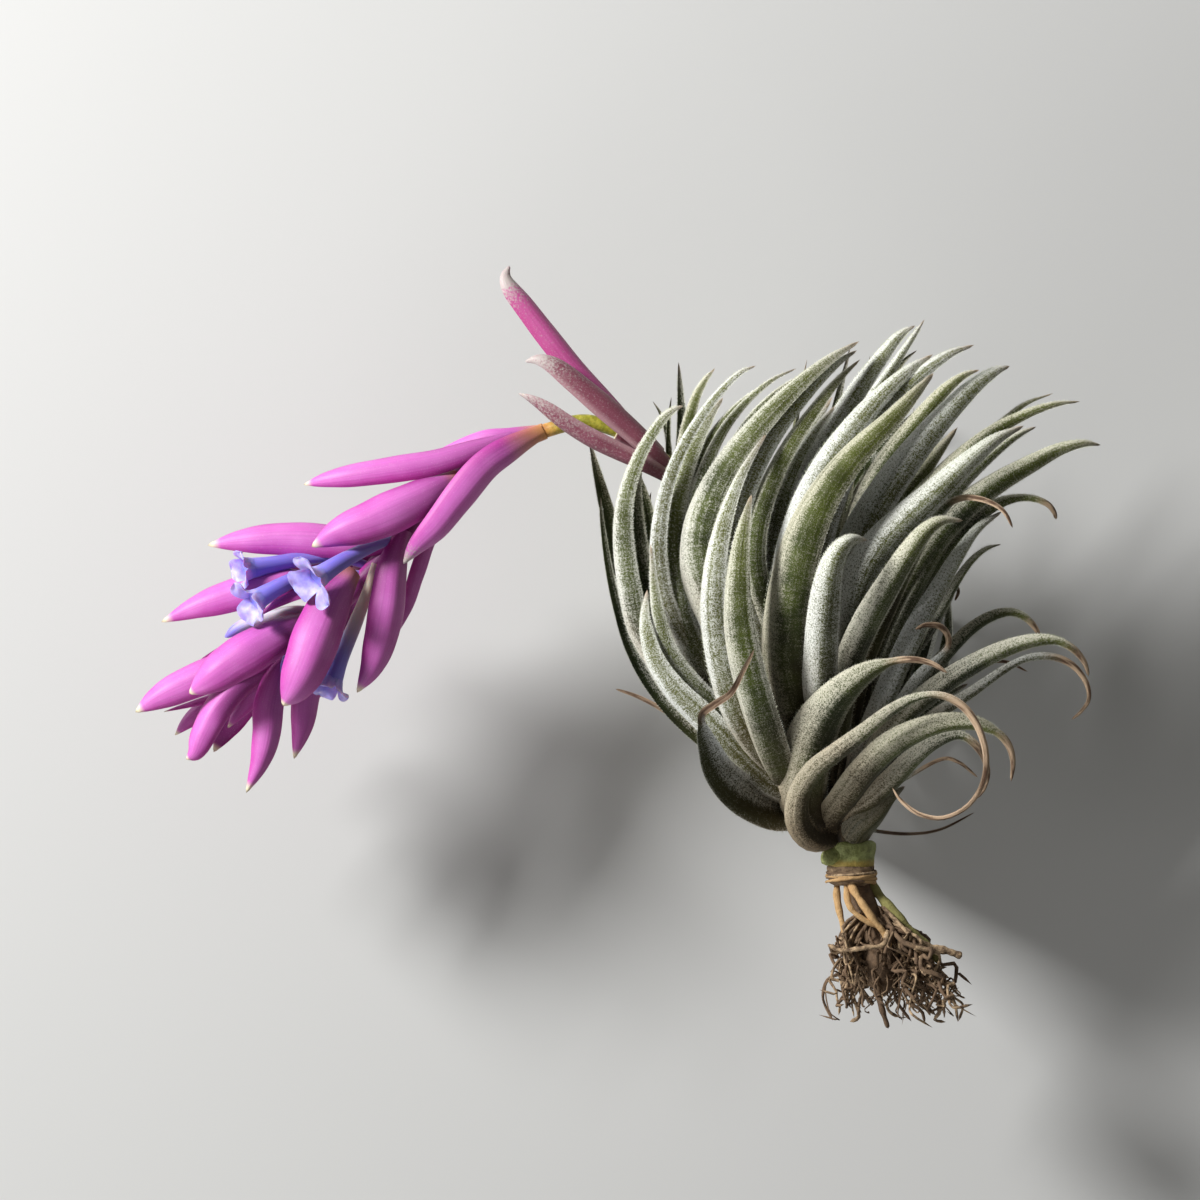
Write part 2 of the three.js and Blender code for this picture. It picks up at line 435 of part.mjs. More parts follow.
// Each bract's full width, heights above the table, the way that its inner face looks, and its middle line
const floralBracts = [
  { width: 5.8, heights: [42, 43, 41], opens: [0.1, -0.7, -1], line: [[-19, 38], [-26, 35.2], [-33, 33],
    [-40, 31.8], [-47, 30.8], [-52.5, 30], [-56.5, 29.2]] },
  { width: 3.6, heights: [42, 41, 40], opens: [0.1, -1, -0.6], line: [[-13.6, 39.4], [-19, 38.2],
    [-24, 37.6], [-29, 36], [-33.5, 34.6]] },
  { width: 6.8, heights: [43, 46, 46], opens: [-0.5, 0.5, -1], line: [[-13.6, 38.8], [-19, 36],
    [-24, 32.6], [-28.6, 27.2], [-32.6, 22], [-36.2, 18.2], [-38.5, 14.9]] },
  { width: 5, heights: [39, 36, 36], opens: [-1, 0.2, -0.4], line: [[-29, 28], [-34, 20.5], [-36.7, 13.5],
    [-38.6, 7], [-41.5, 0]] },
  { width: 8.6, heights: [42, 47, 48], opens: [0, -0.5, -1], line: [[-29, 30.6], [-34, 27.4],
    [-39.5, 24.6], [-45, 22.2], [-50.5, 20.3], [-54.9, 18]] },
  { width: 7.4, heights: [40, 38, 38], opens: [0, -0.7, -1], line: [[-41, 18], [-47, 18.4], [-54, 19],
    [-61, 19.3], [-68, 19], [-73.9, 18.3]] },
  { width: 7.2, heights: [42, 43, 42], opens: [-0.5, 0, -1], line: [[-38.5, 21], [-40.6, 14.5],
    [-41.5, 8], [-42.6, 2], [-44.3, -3.6], [-46.9, -8.2]] },
  { width: 9.2, heights: [42, 49, 49], opens: [-0.25, 0, -1], line: [[-48, 13.5], [-51.4, 8],
    [-53.8, 2.4], [-55.8, -3], [-58, -7.6], [-60, -10.5]] },
  { width: 7.4, heights: [40, 41, 41], opens: [0, -0.7, -1], line: [[-52, 10], [-58, 11.2], [-64, 10.6],
    [-70, 8.9], [-76, 7], [-82.1, 4.5]] },
  { width: 8.8, heights: [41, 48, 48], opens: [0, -0.6, -1], line: [[-55.5, 5], [-60.5, 2.2],
    [-65.5, -0.7], [-70, -3.5], [-73.8, -6.2], [-76.8, -8.3]] },
  { width: 7.4, heights: [39, 41, 42], opens: [0.1, -0.6, -1], line: [[-60, -1], [-66, -2.6], [-72, -4.6],
    [-78, -7], [-83, -9.4], [-86.7, -11.7]] },
  { width: 2.6, heights: [38, 39, 39], opens: [0, -1, -0.4], line: [[-63, -5], [-69, -7.9], [-75, -10],
    [-81.8, -11.7]] },
  { width: 4.4, heights: [38, 37, 37], opens: [0.6, -0.2, -0.8], line: [[-62, -4], [-68, -7.6],
    [-73, -10.4], [-77, -13.2], [-79.8, -15.9]] },
  { width: 5.6, heights: [39, 41, 41], opens: [0.5, 0.2, -1], line: [[-61, -3], [-67.5, -6.4],
    [-71.6, -10.6], [-74.2, -15.2], [-75.8, -18.7], [-77.6, -20.2]] },
  { width: 4, heights: [39, 37, 37], opens: [0.5, 0, -1], line: [[-59, -2], [-63.8, -6.4],
    [-67.2, -10.4], [-70.3, -14.6]] },
  { width: 5.8, heights: [39, 41, 42], opens: [-0.3, 0, -1], line: [[-58, 0], [-61.2, -5],
    [-62.8, -10.4], [-63.2, -15.6], [-64.4, -20.8], [-66.8, -26.2]] },
  { width: 5.6, heights: [38, 35, 35], opens: [-0.3, 0, -1], line: [[-52, 5], [-54.8, -1.5], [-56.2, -8],
    [-57, -14.4], [-58.4, -20.2]] },
  { width: 3.6, heights: [40, 44, 44], opens: [0.2, -1, -0.2], line: [[-50, 9.5], [-56, 9.2],
    [-60.6, 7.6], [-64.6, 5.4]] },
  // The far side of the head
  { width: 7.2, heights: [41, 35, 34], opens: [0, 0, 1], line: [[-27, 31], [-33, 27], [-38.5, 22.4],
    [-43.5, 18], [-48, 13.6]] },
  { width: 7, heights: [39, 32, 31], opens: [0, 0.3, 1], line: [[-37, 22], [-44, 18.6], [-51, 15.6],
    [-58, 13], [-64, 11]] },
  { width: 7, heights: [38, 31, 30], opens: [0.2, 0, 1], line: [[-45, 13], [-48.6, 7], [-51.4, 1],
    [-53.6, -5], [-55.4, -10.6]] },
  { width: 6.6, heights: [38, 32, 31], opens: [0, 0.2, 1], line: [[-54, 4], [-60, 1.6], [-66, -0.8],
    [-72, -2.6], [-77, -3.8]] },
  { width: 6, heights: [38, 33, 32], opens: [0.3, 0.2, 1], line: [[-60, -1], [-64, -5.4], [-67.6, -10],
    [-70.6, -14.6], [-73, -19]] },
];

function flowerHead(grow = 0) {
  const bracts = floralBracts.map((bract) => bractSolid(bract, grow));
  const rachisGirth = [[0, 1.6], [0.5, 1.9], [0.9, 1.6], [1, 0]];
  const rachis = taper(rachisLine, (share) => along(rachisGirth, share) + grow, 8, 10);
  return join([rachis, ...bracts]);
}

// Each flower's tube line and heights, the share of the full spread of its lobes, and their turn in degrees.
// A bud has no lobes.
const flowers = [
  { name: "flower_front", heights: [41.5, 47, 52], spread: 1.1, turn: 20, line: [[-40, 19.6],
    [-44.5, 17.9], [-49.4, 15.4], [-54, 12.3]] },
  { name: "flower_left", heights: [39, 44, 49], spread: 0.8, turn: 60, line: [[-46.5, 13], [-52, 13.8],
    [-57, 12.6], [-61.2, 10.6], [-65.2, 8.2]] },
  { name: "flower_behind", heights: [38, 40, 44], spread: 0.5, turn: 30, line: [[-44.6, 14.6], [-51, 16.2],
    [-57, 15.8], [-62.2, 14.8], [-67, 14]] },
  { name: "flower_right", heights: [41, 42, 45], spread: 0.55, turn: 10, line: [[-43.6, 15],
    [-45.2, 9.6], [-47.3, 4], [-49.8, -1.8], [-51.6, -7]] },
  { name: "bud_left", heights: [39, 41.5, 42], bud: true, line: [[-52.5, 6], [-57.5, 6.6], [-62.4, 5.6],
    [-67.2, 4], [-70.7, 1.7]] },
  { name: "bud_middle", heights: [39, 42, 43], bud: true, line: [[-54.8, 3], [-57, 1.4], [-58.6, -0.6],
    [-59.5, -3.2], [-59.8, -6]] },
];

function lobeSolid(mouth, forward, outward, spread) {
  const reach = [[-1.2, 1], [0.8, 2.1], [1.9, 3.7], [2.1, 5.6]];
  const line = new THREE.CatmullRomCurve3(reach.map(([ahead, out]) => mouth.clone()
    .addScaledVector(forward, ahead * spread).addScaledVector(outward, out * spread)));
  const section = (share) => {
    const half = (spread * along(LOBE_OUTLINE, share)) / 2;
    return [[0, -0.35], [half, -0.1], [0, 0.35], [-half, -0.1]];
  };
  return sweep(line, section, forward, 4, 6);
}

function flowerSolid({ heights, line, spread, turn, bud }) {
  const curve = risingLine(line, heights);
  if (bud) {
    return taper(curve, (share) => along(BUD_GIRTH, share), 8, 7);
  }
  const throat = taper(curve, (share) => along(TUBE_GIRTH, share), 8, 8);
  const forward = curve.getTangent(1);
  const sideways = point(0, 0, 1).cross(forward).normalize();
  const lobes = [0, 120, 240].map((step) => {
    const outward = sideways.clone().applyAxisAngle(forward, THREE.MathUtils.degToRad(turn + step));
    return lobeSolid(curve.getPoint(1), forward, outward, spread);
  });
  return join([throat, ...lobes]);
}

const scapeBracts = [
  { width: 5, heights: [43, 41, 40], opens: [-0.5, -0.5, -1], line: [[6, 35.4], [1.5, 40], [-3.4, 45],
    [-8.4, 50.3], [-13, 56], [-16.8, 61], [-19.4, 64.4], [-20.2, 66.6], [-19.5, 68.6]] },
  { width: 5, heights: [43, 46, 46], opens: [-0.2, -0.6, -1], line: [[13, 28.6], [8, 33.2], [4, 37.2],
    [0, 40.8], [-4, 44.2], [-8, 47.6], [-11.6, 50.4], [-14.4, 51.5], [-16.7, 51.2]] },
  { width: 4.2, heights: [43, 46, 46], opens: [0.2, 0.7, -0.8], line: [[12.6, 27.6], [8.6, 30.8],
    [4, 33.4], [-0.6, 35.6], [-5, 37.8], [-9, 40.2], [-12.6, 42.8], [-15.4, 44.5], [-17.9, 45.5]] },
];

// The bracts share one sheath round the scape
function scapeBractSolid(grow = 0) {
  const sheathPoints = [0.52, 0.57, 0.62, 0.67].map((share) => scapeLine.getPoint(share));
  const sheathLine = new THREE.CatmullRomCurve3(sheathPoints);
  const girth = [[0, 1.8], [0.2, 2.3], [0.8, 2.3], [1, 1.9]];
  const sheath = taper(sheathLine, (share) => along(girth, share) + grow, 10, 4);
  return join([sheath, ...scapeBracts.map((bract) => bractSolid(bract, grow))]);
}

// Stem and roots

const stemFoot = point(41.9, -39.6, AXIS_HEIGHT);

function stemSolid(grow = 0) {
  const profile = [[0, 0], [0.98, 0], [1.02, 0.1], [1, 0.4], [1.1, 0.7], [1.1, 0.88], [0.8, 1], [0, 1]]
    .map(([out, up]) => new THREE.Vector2(out * (STEM_RADIUS + grow), up * (STEM_LENGTH + grow)));
  const stub = solidOf(new THREE.LatheGeometry(profile, 16).translate(...stemFoot));
  const budLine = new THREE.CatmullRomCurve3([point(41, -36.8, AXIS_HEIGHT + 1),
    point(38.6, -37.4, AXIS_HEIGHT + 2.4), point(36.6, -38.9, AXIS_HEIGHT + 2.8)]);
  const budGirth = [[0, 1.8], [0.7, 1.6], [1, 0]];
  return stub.add(taper(budLine, (share) => along(budGirth, share) + grow, 6, 4));
}

function rootSolid(points, radius, sides) {
  const line = new THREE.CatmullRomCurve3(points.map(([x, y, z]) => point(x, y, AXIS_HEIGHT + z)));
  return taper(line, (share) => radius * (1 - 0.35 * share), sides, points.length);
}

const thickRoots = [
  [0.8, [[41.5, -40.8, 1], [42.2, -43.4, 3.4], [43.8, -46, 4.6], [45.9, -49, 5], [47.8, -51.4, 4.6],
    [49, -54, 4]]],
  [0.6, [[41, -41, 1], [41.2, -45.4, 4.2], [42.4, -47.6, 5], [44.6, -49.2, 5], [47, -50.6, 4.4],
    [48.6, -53.4, 3]]],
  [1.05, [[44, -40.8, -1], [46.8, -44.4, 0], [49.6, -47.7, 1], [52.6, -51, 1], [55.4, -53.6, 0],
    [58, -57, 0]]],
  [0.5, [[48.4, -51, 4.6], [47.5, -53.4, 6.4], [43.6, -54, 7], [40, -54.4, 6], [37.6, -53.4, 5]]],
  [0.9, [[52, -52.6, 0], [56, -54, 2], [59, -54.6, 2.4], [61.9, -55.6, 2]]],
  [0.7, [[45.6, -56, 1], [46.4, -60, 3], [47.2, -64.2, 3.4], [48.6, -68.6, 2]]],
  [0.7, [[39.6, -40.8, 0], [39.4, -45, 1], [40.4, -50, 2], [41.6, -55, 2.6], [41.4, -60, 3]]],
];

function wiryRoot() {
  const startX = draw(41, 52);
  const depth = draw(-7, 7);
  const lean = 0.9 * (startX - 44) + draw(-2, 3);
  const wave = draw(0.8, 2.2);
  const points = [0, 1, 2, 3, 4].map((step) => [
    startX + lean * 0.25 * step + draw(-wave, wave),
    -52.5 - 3.5 * step + draw(-1, 1),
    depth * (0.75 + 0.09 * step) + draw(-wave, wave),
  ]);
  return rootSolid([[46 + 0.3 * (startX - 46), -49.5, depth * 0.3], ...points], draw(0.4, 0.62), 4);
}

function rootsSolid() {
  const collarProfile = [[0, 0], [3, 0], [4.1, 0.6], [3.9, 1.2], [4.5, 1.8], [4.2, 2.4], [4, 3.1], [0, 3.1]]
    .map(([radius, height]) => new THREE.Vector2(radius, height));
  const collar = solidOf(new THREE.LatheGeometry(collarProfile, 14)
    .translate(stemFoot.x, stemFoot.y - CLEARANCE - 3.1, AXIS_HEIGHT));
  const thick = thickRoots.map(([radius, points]) => rootSolid(points, radius, 6));
  const coreLine = new THREE.CatmullRomCurve3([point(42.4, -41, AXIS_HEIGHT), point(45, -48, AXIS_HEIGHT),
    point(47, -55, AXIS_HEIGHT), point(48, -63, AXIS_HEIGHT)]);
  const coreGirth = [[0, 2.2], [0.4, 2.2], [0.7, 4], [0.9, 3.4], [1, 0]];
  const core = taper(coreLine, (share) => along(coreGirth, share), 8, 6);
  const wiry = Array.from({ length: WIRY_ROOTS }, wiryRoot);
  return join([collar, core, ...thick, ...wiry]);
}

// The space under the table top, cut away from what the plant rests on
function underTable() {
  const box = new THREE.BoxGeometry(400, 400, 40);
  return solidOf(box.translate(0, 0, -20));
}

const leafList = [...seenLeaves, ...Array.from({ length: HIDDEN_LEAVES }, (_, index) => hiddenLeaf(index)),
  ...restingLeaves];
const leaves = join([tuftCore(), ...leafList.map(leafSolid)])
  .subtract(scapeSolid(CLEARANCE)).subtract(scapeBractSolid(CLEARANCE)).subtract(stemSolid(CLEARANCE))
  .subtract(underTable());
const head = flowerHead().subtract(scapeSolid(CLEARANCE));
const headRoom = flowerHead(CLEARANCE);

const plant = new THREE.Group();
plant.add(meshOf("leaves", leaves, 0xaab49a, 0.75));
plant.add(meshOf("stem", stemSolid(), 0x8f8f4a, 0.7));
plant.add(meshOf("roots", rootsSolid(), 0xa88c6a, 0.9));
plant.add(meshOf("scape", scapeSolid(), 0xb0a846, 0.55));
plant.add(meshOf("scape_bracts", scapeBractSolid().subtract(scapeSolid(CLEARANCE)), 0xa8688a, 0.65));
plant.add(meshOf("flower_head", head, 0xcf5cae, 0.5));
flowers.forEach((flower) => {
  plant.add(meshOf(flower.name, flowerSolid(flower).subtract(headRoom), 0x8a7ad2, 0.5));
});

export default plant;
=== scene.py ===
import math
import random

import bmesh
import bpy
from mathutils import Matrix, Vector


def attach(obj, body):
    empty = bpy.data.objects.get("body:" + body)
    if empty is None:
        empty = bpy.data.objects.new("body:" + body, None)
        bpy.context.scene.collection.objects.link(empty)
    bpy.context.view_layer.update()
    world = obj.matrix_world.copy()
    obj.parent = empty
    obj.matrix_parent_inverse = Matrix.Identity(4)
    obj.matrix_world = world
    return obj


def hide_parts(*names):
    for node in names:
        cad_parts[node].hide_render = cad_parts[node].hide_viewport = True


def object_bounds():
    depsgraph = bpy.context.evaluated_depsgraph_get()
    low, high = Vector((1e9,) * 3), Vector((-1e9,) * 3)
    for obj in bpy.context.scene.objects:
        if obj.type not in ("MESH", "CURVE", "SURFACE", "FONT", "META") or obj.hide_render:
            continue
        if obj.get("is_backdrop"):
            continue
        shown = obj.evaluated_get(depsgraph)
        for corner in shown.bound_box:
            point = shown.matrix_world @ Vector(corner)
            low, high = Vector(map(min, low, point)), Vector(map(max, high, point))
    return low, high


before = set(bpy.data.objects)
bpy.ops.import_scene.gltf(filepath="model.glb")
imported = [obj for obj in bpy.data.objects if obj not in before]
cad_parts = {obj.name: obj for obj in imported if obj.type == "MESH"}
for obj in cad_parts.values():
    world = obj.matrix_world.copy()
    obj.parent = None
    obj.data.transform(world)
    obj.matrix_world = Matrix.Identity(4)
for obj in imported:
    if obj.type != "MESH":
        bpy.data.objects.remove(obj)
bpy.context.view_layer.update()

# Leaves. Each one is a narrow, thick, channelled blade that narrows to a thread, green under a cover of
# fine silver scales, and dry and tan where its tip has curled. They sheathe each other round a short
# stem, with their roots sunk in it, and the lowest ones carry the plant on the table.

MM = 0.001


def in_metres(*points):
    return [Vector(point) * MM for point in points]


def on_line(points, share):
    """A place on the smooth line through points, at a share of its length from 0 to 1."""
    reach = share * (len(points) - 1)
    first = min(int(reach), len(points) - 2)
    step = reach - first
    b, c = points[first], points[first + 1]
    a = points[first - 1] if first > 0 else 2 * b - c
    d = points[first + 2] if first + 2 < len(points) else 2 * c - b
    return b + 0.5 * step * (c - a + step * (2 * a - 5 * b + 4 * c - d + step * (3 * (b - c) + d - a)))


def heading(points, share):
    return (on_line(points, min(1, share + 0.002)) - on_line(points, max(0, share - 0.002))).normalized()


def along(corners, share):
    """A value read between [share, value] corners."""
    for (low, start), (high, end) in zip(corners, corners[1:]):
        if share <= high:
            return start + (end - start) * max(0, share - low) / (high - low)
    return corners[-1][1]


def smoothly(corners, share):
    """The same, rounded at the corners."""
    return sum(along(corners, min(1, max(0, share + step))) for step in (-0.05, -0.025, 0, 0.025, 0.05)) / 5


def rising(line, heights, root=None):
    """[x, y] points led through the heights at the base, the middle and the tip, in metres, from a root if
    one is given."""
    base, middle, tip = heights
    points = []
    for index, (x, y) in enumerate(line):
        t = index / (len(line) - 1)
        z = base * (1 - t) * (1 - 2 * t) + 4 * middle * t * (1 - t) + tip * t * (2 * t - 1)
        points.append(Vector((x, y, z)) * MM)
    return [root] + points if root else points


def sweep(bm, points, section_at, opens, around, rings, shade_at):
    """Rolls a grid into a closed blade or tube along points. section_at gives [across, depth] in metres for
    a share of the length and an angle round it, and shade_at the four values of the attribute shade."""
    grid = bmesh.ops.create_grid(bm, x_segments=around, y_segments=rings + 1, size=0.5, calc_uvs=True)
    shade = bm.verts.layers.float_color["shade"]
    open_way, frames = Vector(opens), {}
    for vert in grid["verts"]:
        turn, ring = 2 * math.pi * (vert.co.x + 0.5), round((vert.co.y + 0.5) * (rings + 1))
        share = max(0, ring - 1) / rings
        if ring not in frames:
            tangent = heading(points, share)
            way = (open_way - tangent * tangent.dot(open_way)).normalized()
            frames[ring] = (on_line(points, share), way.cross(tangent), way)
        centre, side, way = frames[ring]
        if 0 < ring <= rings:
            across, depth = section_at(share, turn)
        else:
            # Both ends close in one point, the base half way between the back and the inside
            back, inside = (section_at(0, angle)[1] for angle in (math.pi / 2, -math.pi / 2))
            across, depth = 0, 0 if ring else (back + inside) / 2
        vert[shade] = shade_at(share, turn)
        vert.co = centre + side * across + way * depth


TUBE_SEAM = (0.11, 0.07, 1)


def ring_place(radius_mm, turn):
    return radius_mm * MM * math.cos(turn), -radius_mm * MM * math.sin(turn)


def tube(bm, points, radius_at, around, rings, shade_at=lambda share, turn: (0, 0.5, share, 0)):
    """A closed round tube along points, with its radius in millimetres at a share of the length."""
    sweep(bm, points, lambda share, turn: ring_place(radius_at(share), turn), TUBE_SEAM, around, rings,
          shade_at)


def new_skin():
    bm = bmesh.new()
    bm.loops.layers.uv.new("skin")
    bm.verts.layers.float_color.new("shade")
    return bm


SEAM_GAP = 2e-7
FLAT_FACE = 1e-8
SHARP_EDGE = 1.05


def placed(name, data):
    thing = bpy.data.objects.new(name, data)
    bpy.context.collection.objects.link(thing)
    return thing


def finished(bm, name, material, nodes):
    """Closes the seams, turns the faces outwards and rides the piece on the plant."""
    bmesh.ops.remove_doubles(bm, verts=bm.verts, dist=SEAM_GAP)
    bmesh.ops.dissolve_degenerate(bm, dist=FLAT_FACE, edges=bm.edges)
    bmesh.ops.recalc_face_normals(bm, faces=bm.faces)
    for face in bm.faces:
        face.smooth = True
    for edge in bm.edges:
        edge.smooth = edge.calc_face_angle(0) < SHARP_EDGE
    mesh = bpy.data.meshes.new(name)
    bm.to_mesh(mesh)
    bm.free()
    mesh.materials.append(material)
    piece = placed(name, mesh)
    if nodes:
        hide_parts(*nodes)
    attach(piece, "root")


LEAF_OUTLINE = [[0, 0.72], [0.15, 0.9], [0.3, 1], [0.5, 0.92], [0.75, 0.56], [0.92, 0.26], [1, 0.04]]
LEAF_KEEL = 0.4
LEAF_THICKNESS = 0.34
EDGE_THICKNESS = 0.28
THIN_BELOW = 0.8
DRY_TIP_WIDTH = 1.5
SHOWN_STEEPNESS = 1.3
ROOT_DROP = 4
REST_HEIGHT = 2.3
TABLE_GAP = 0.05
FULL_TURN = 6.28
tuft_axis = in_metres((41, -34, 38), (37, -18, 39), (36, 2, 40), (42, 24, 41), (52, 44, 42))


def blade(width, heights, *line, **more):
    """A leaf or a bract: its width, its heights at the base, the middle and the tip, and the x,y points of
    its line, all in millimetres. dry is the share of the length where a leaf's dry tip begins."""
    return dict(width=width, heights=heights, line=list(zip(line[::2], line[1::2])), **more)


def leaf_opening(points, steepness):
    """A leaf's channel opens towards the middle of the tuft. steepness is the least slope of that way."""
    way = sum((on_line(tuft_axis, s) - on_line(points, s) for s in (0.2, 0.35, 0.5, 0.65)), Vector())
    rise = max(abs(way.z), steepness * math.hypot(way.x, way.y), MM)
    return Vector((way.x, way.y, rise if way.z > 0 else -rise)).normalized()


def leaf_root(base):
    """Where a leaf is rooted in the middle of the tuft, a little below where it comes out. The lower half
    of tuft_axis rises from y -34 to 2."""
    return on_line(tuft_axis, max(0, 0.5 * (base[1] - ROOT_DROP + 34) / 36))


def leaf_width(width, share, dry_from):
    strip = min(DRY_TIP_WIDTH, 0.5 * width)
    if share <= dry_from:
        return max(width * smoothly(LEAF_OUTLINE, share / dry_from), strip if dry_from < 1 else 0)
    return strip * max(0, (1 - share) / (1 - dry_from)) ** 0.35


def leaf_course(leaf):
    """The line that a leaf follows, and the way its channel opens."""
    steepness = leaf.get("steepness", SHOWN_STEEPNESS)
    root = leaf_root(leaf["line"][0]) if steepness else None
    points = rising(leaf["line"], leaf["heights"], root)
    for point in points:
        point.z = max(point.z, REST_HEIGHT * MM)
    return points, Vector(leaf["opens"]) if "opens" in leaf else leaf_opening(points, steepness)


def add_leaf(bm, leaf, around, rings):
    dry_from = leaf.get("dry", 1)
    points, opens = leaf_course(leaf)
    tone, ripple = rng.random(), rng.uniform(0, FULL_TURN)
    tone = leaf.get("tone", tone)

    def section(share, turn):
        half = leaf_width(leaf["width"], share, dry_from) * MM / 2
        keel = LEAF_KEEL * 2 * half
        thick = LEAF_THICKNESS * keel + EDGE_THICKNESS * MM * min(1, half / (THIN_BELOW * MM))
        c, s = math.cos(turn), math.sin(turn)
        back = 0.6 * (1 - abs(c) ** 2.2) + 0.4 * (1 - abs(c))
        channel = 0.8 * (1 - c * c) + 0.2 * (1 - abs(c))
        depth = -keel * back if s >= 0 else -(keel - thick) * channel
        wave = 0.03 * half * math.sin(9 * share + ripple)
        return half * c + wave, depth + 0.04 * keel * math.sin(14 * share + 2 * ripple)

    def shade(share, turn):
        dry = min(1, max(0, (share - dry_from + 0.06) / 0.09)) if dry_from < 1 else 0
        dry = max(dry, min(1, max(0, (share - 0.95) / 0.05)) * 0.8)
        return dry, tone, share, leaf.get("dead", 0)

    sweep(bm, points, section, opens, around, rings, shade)


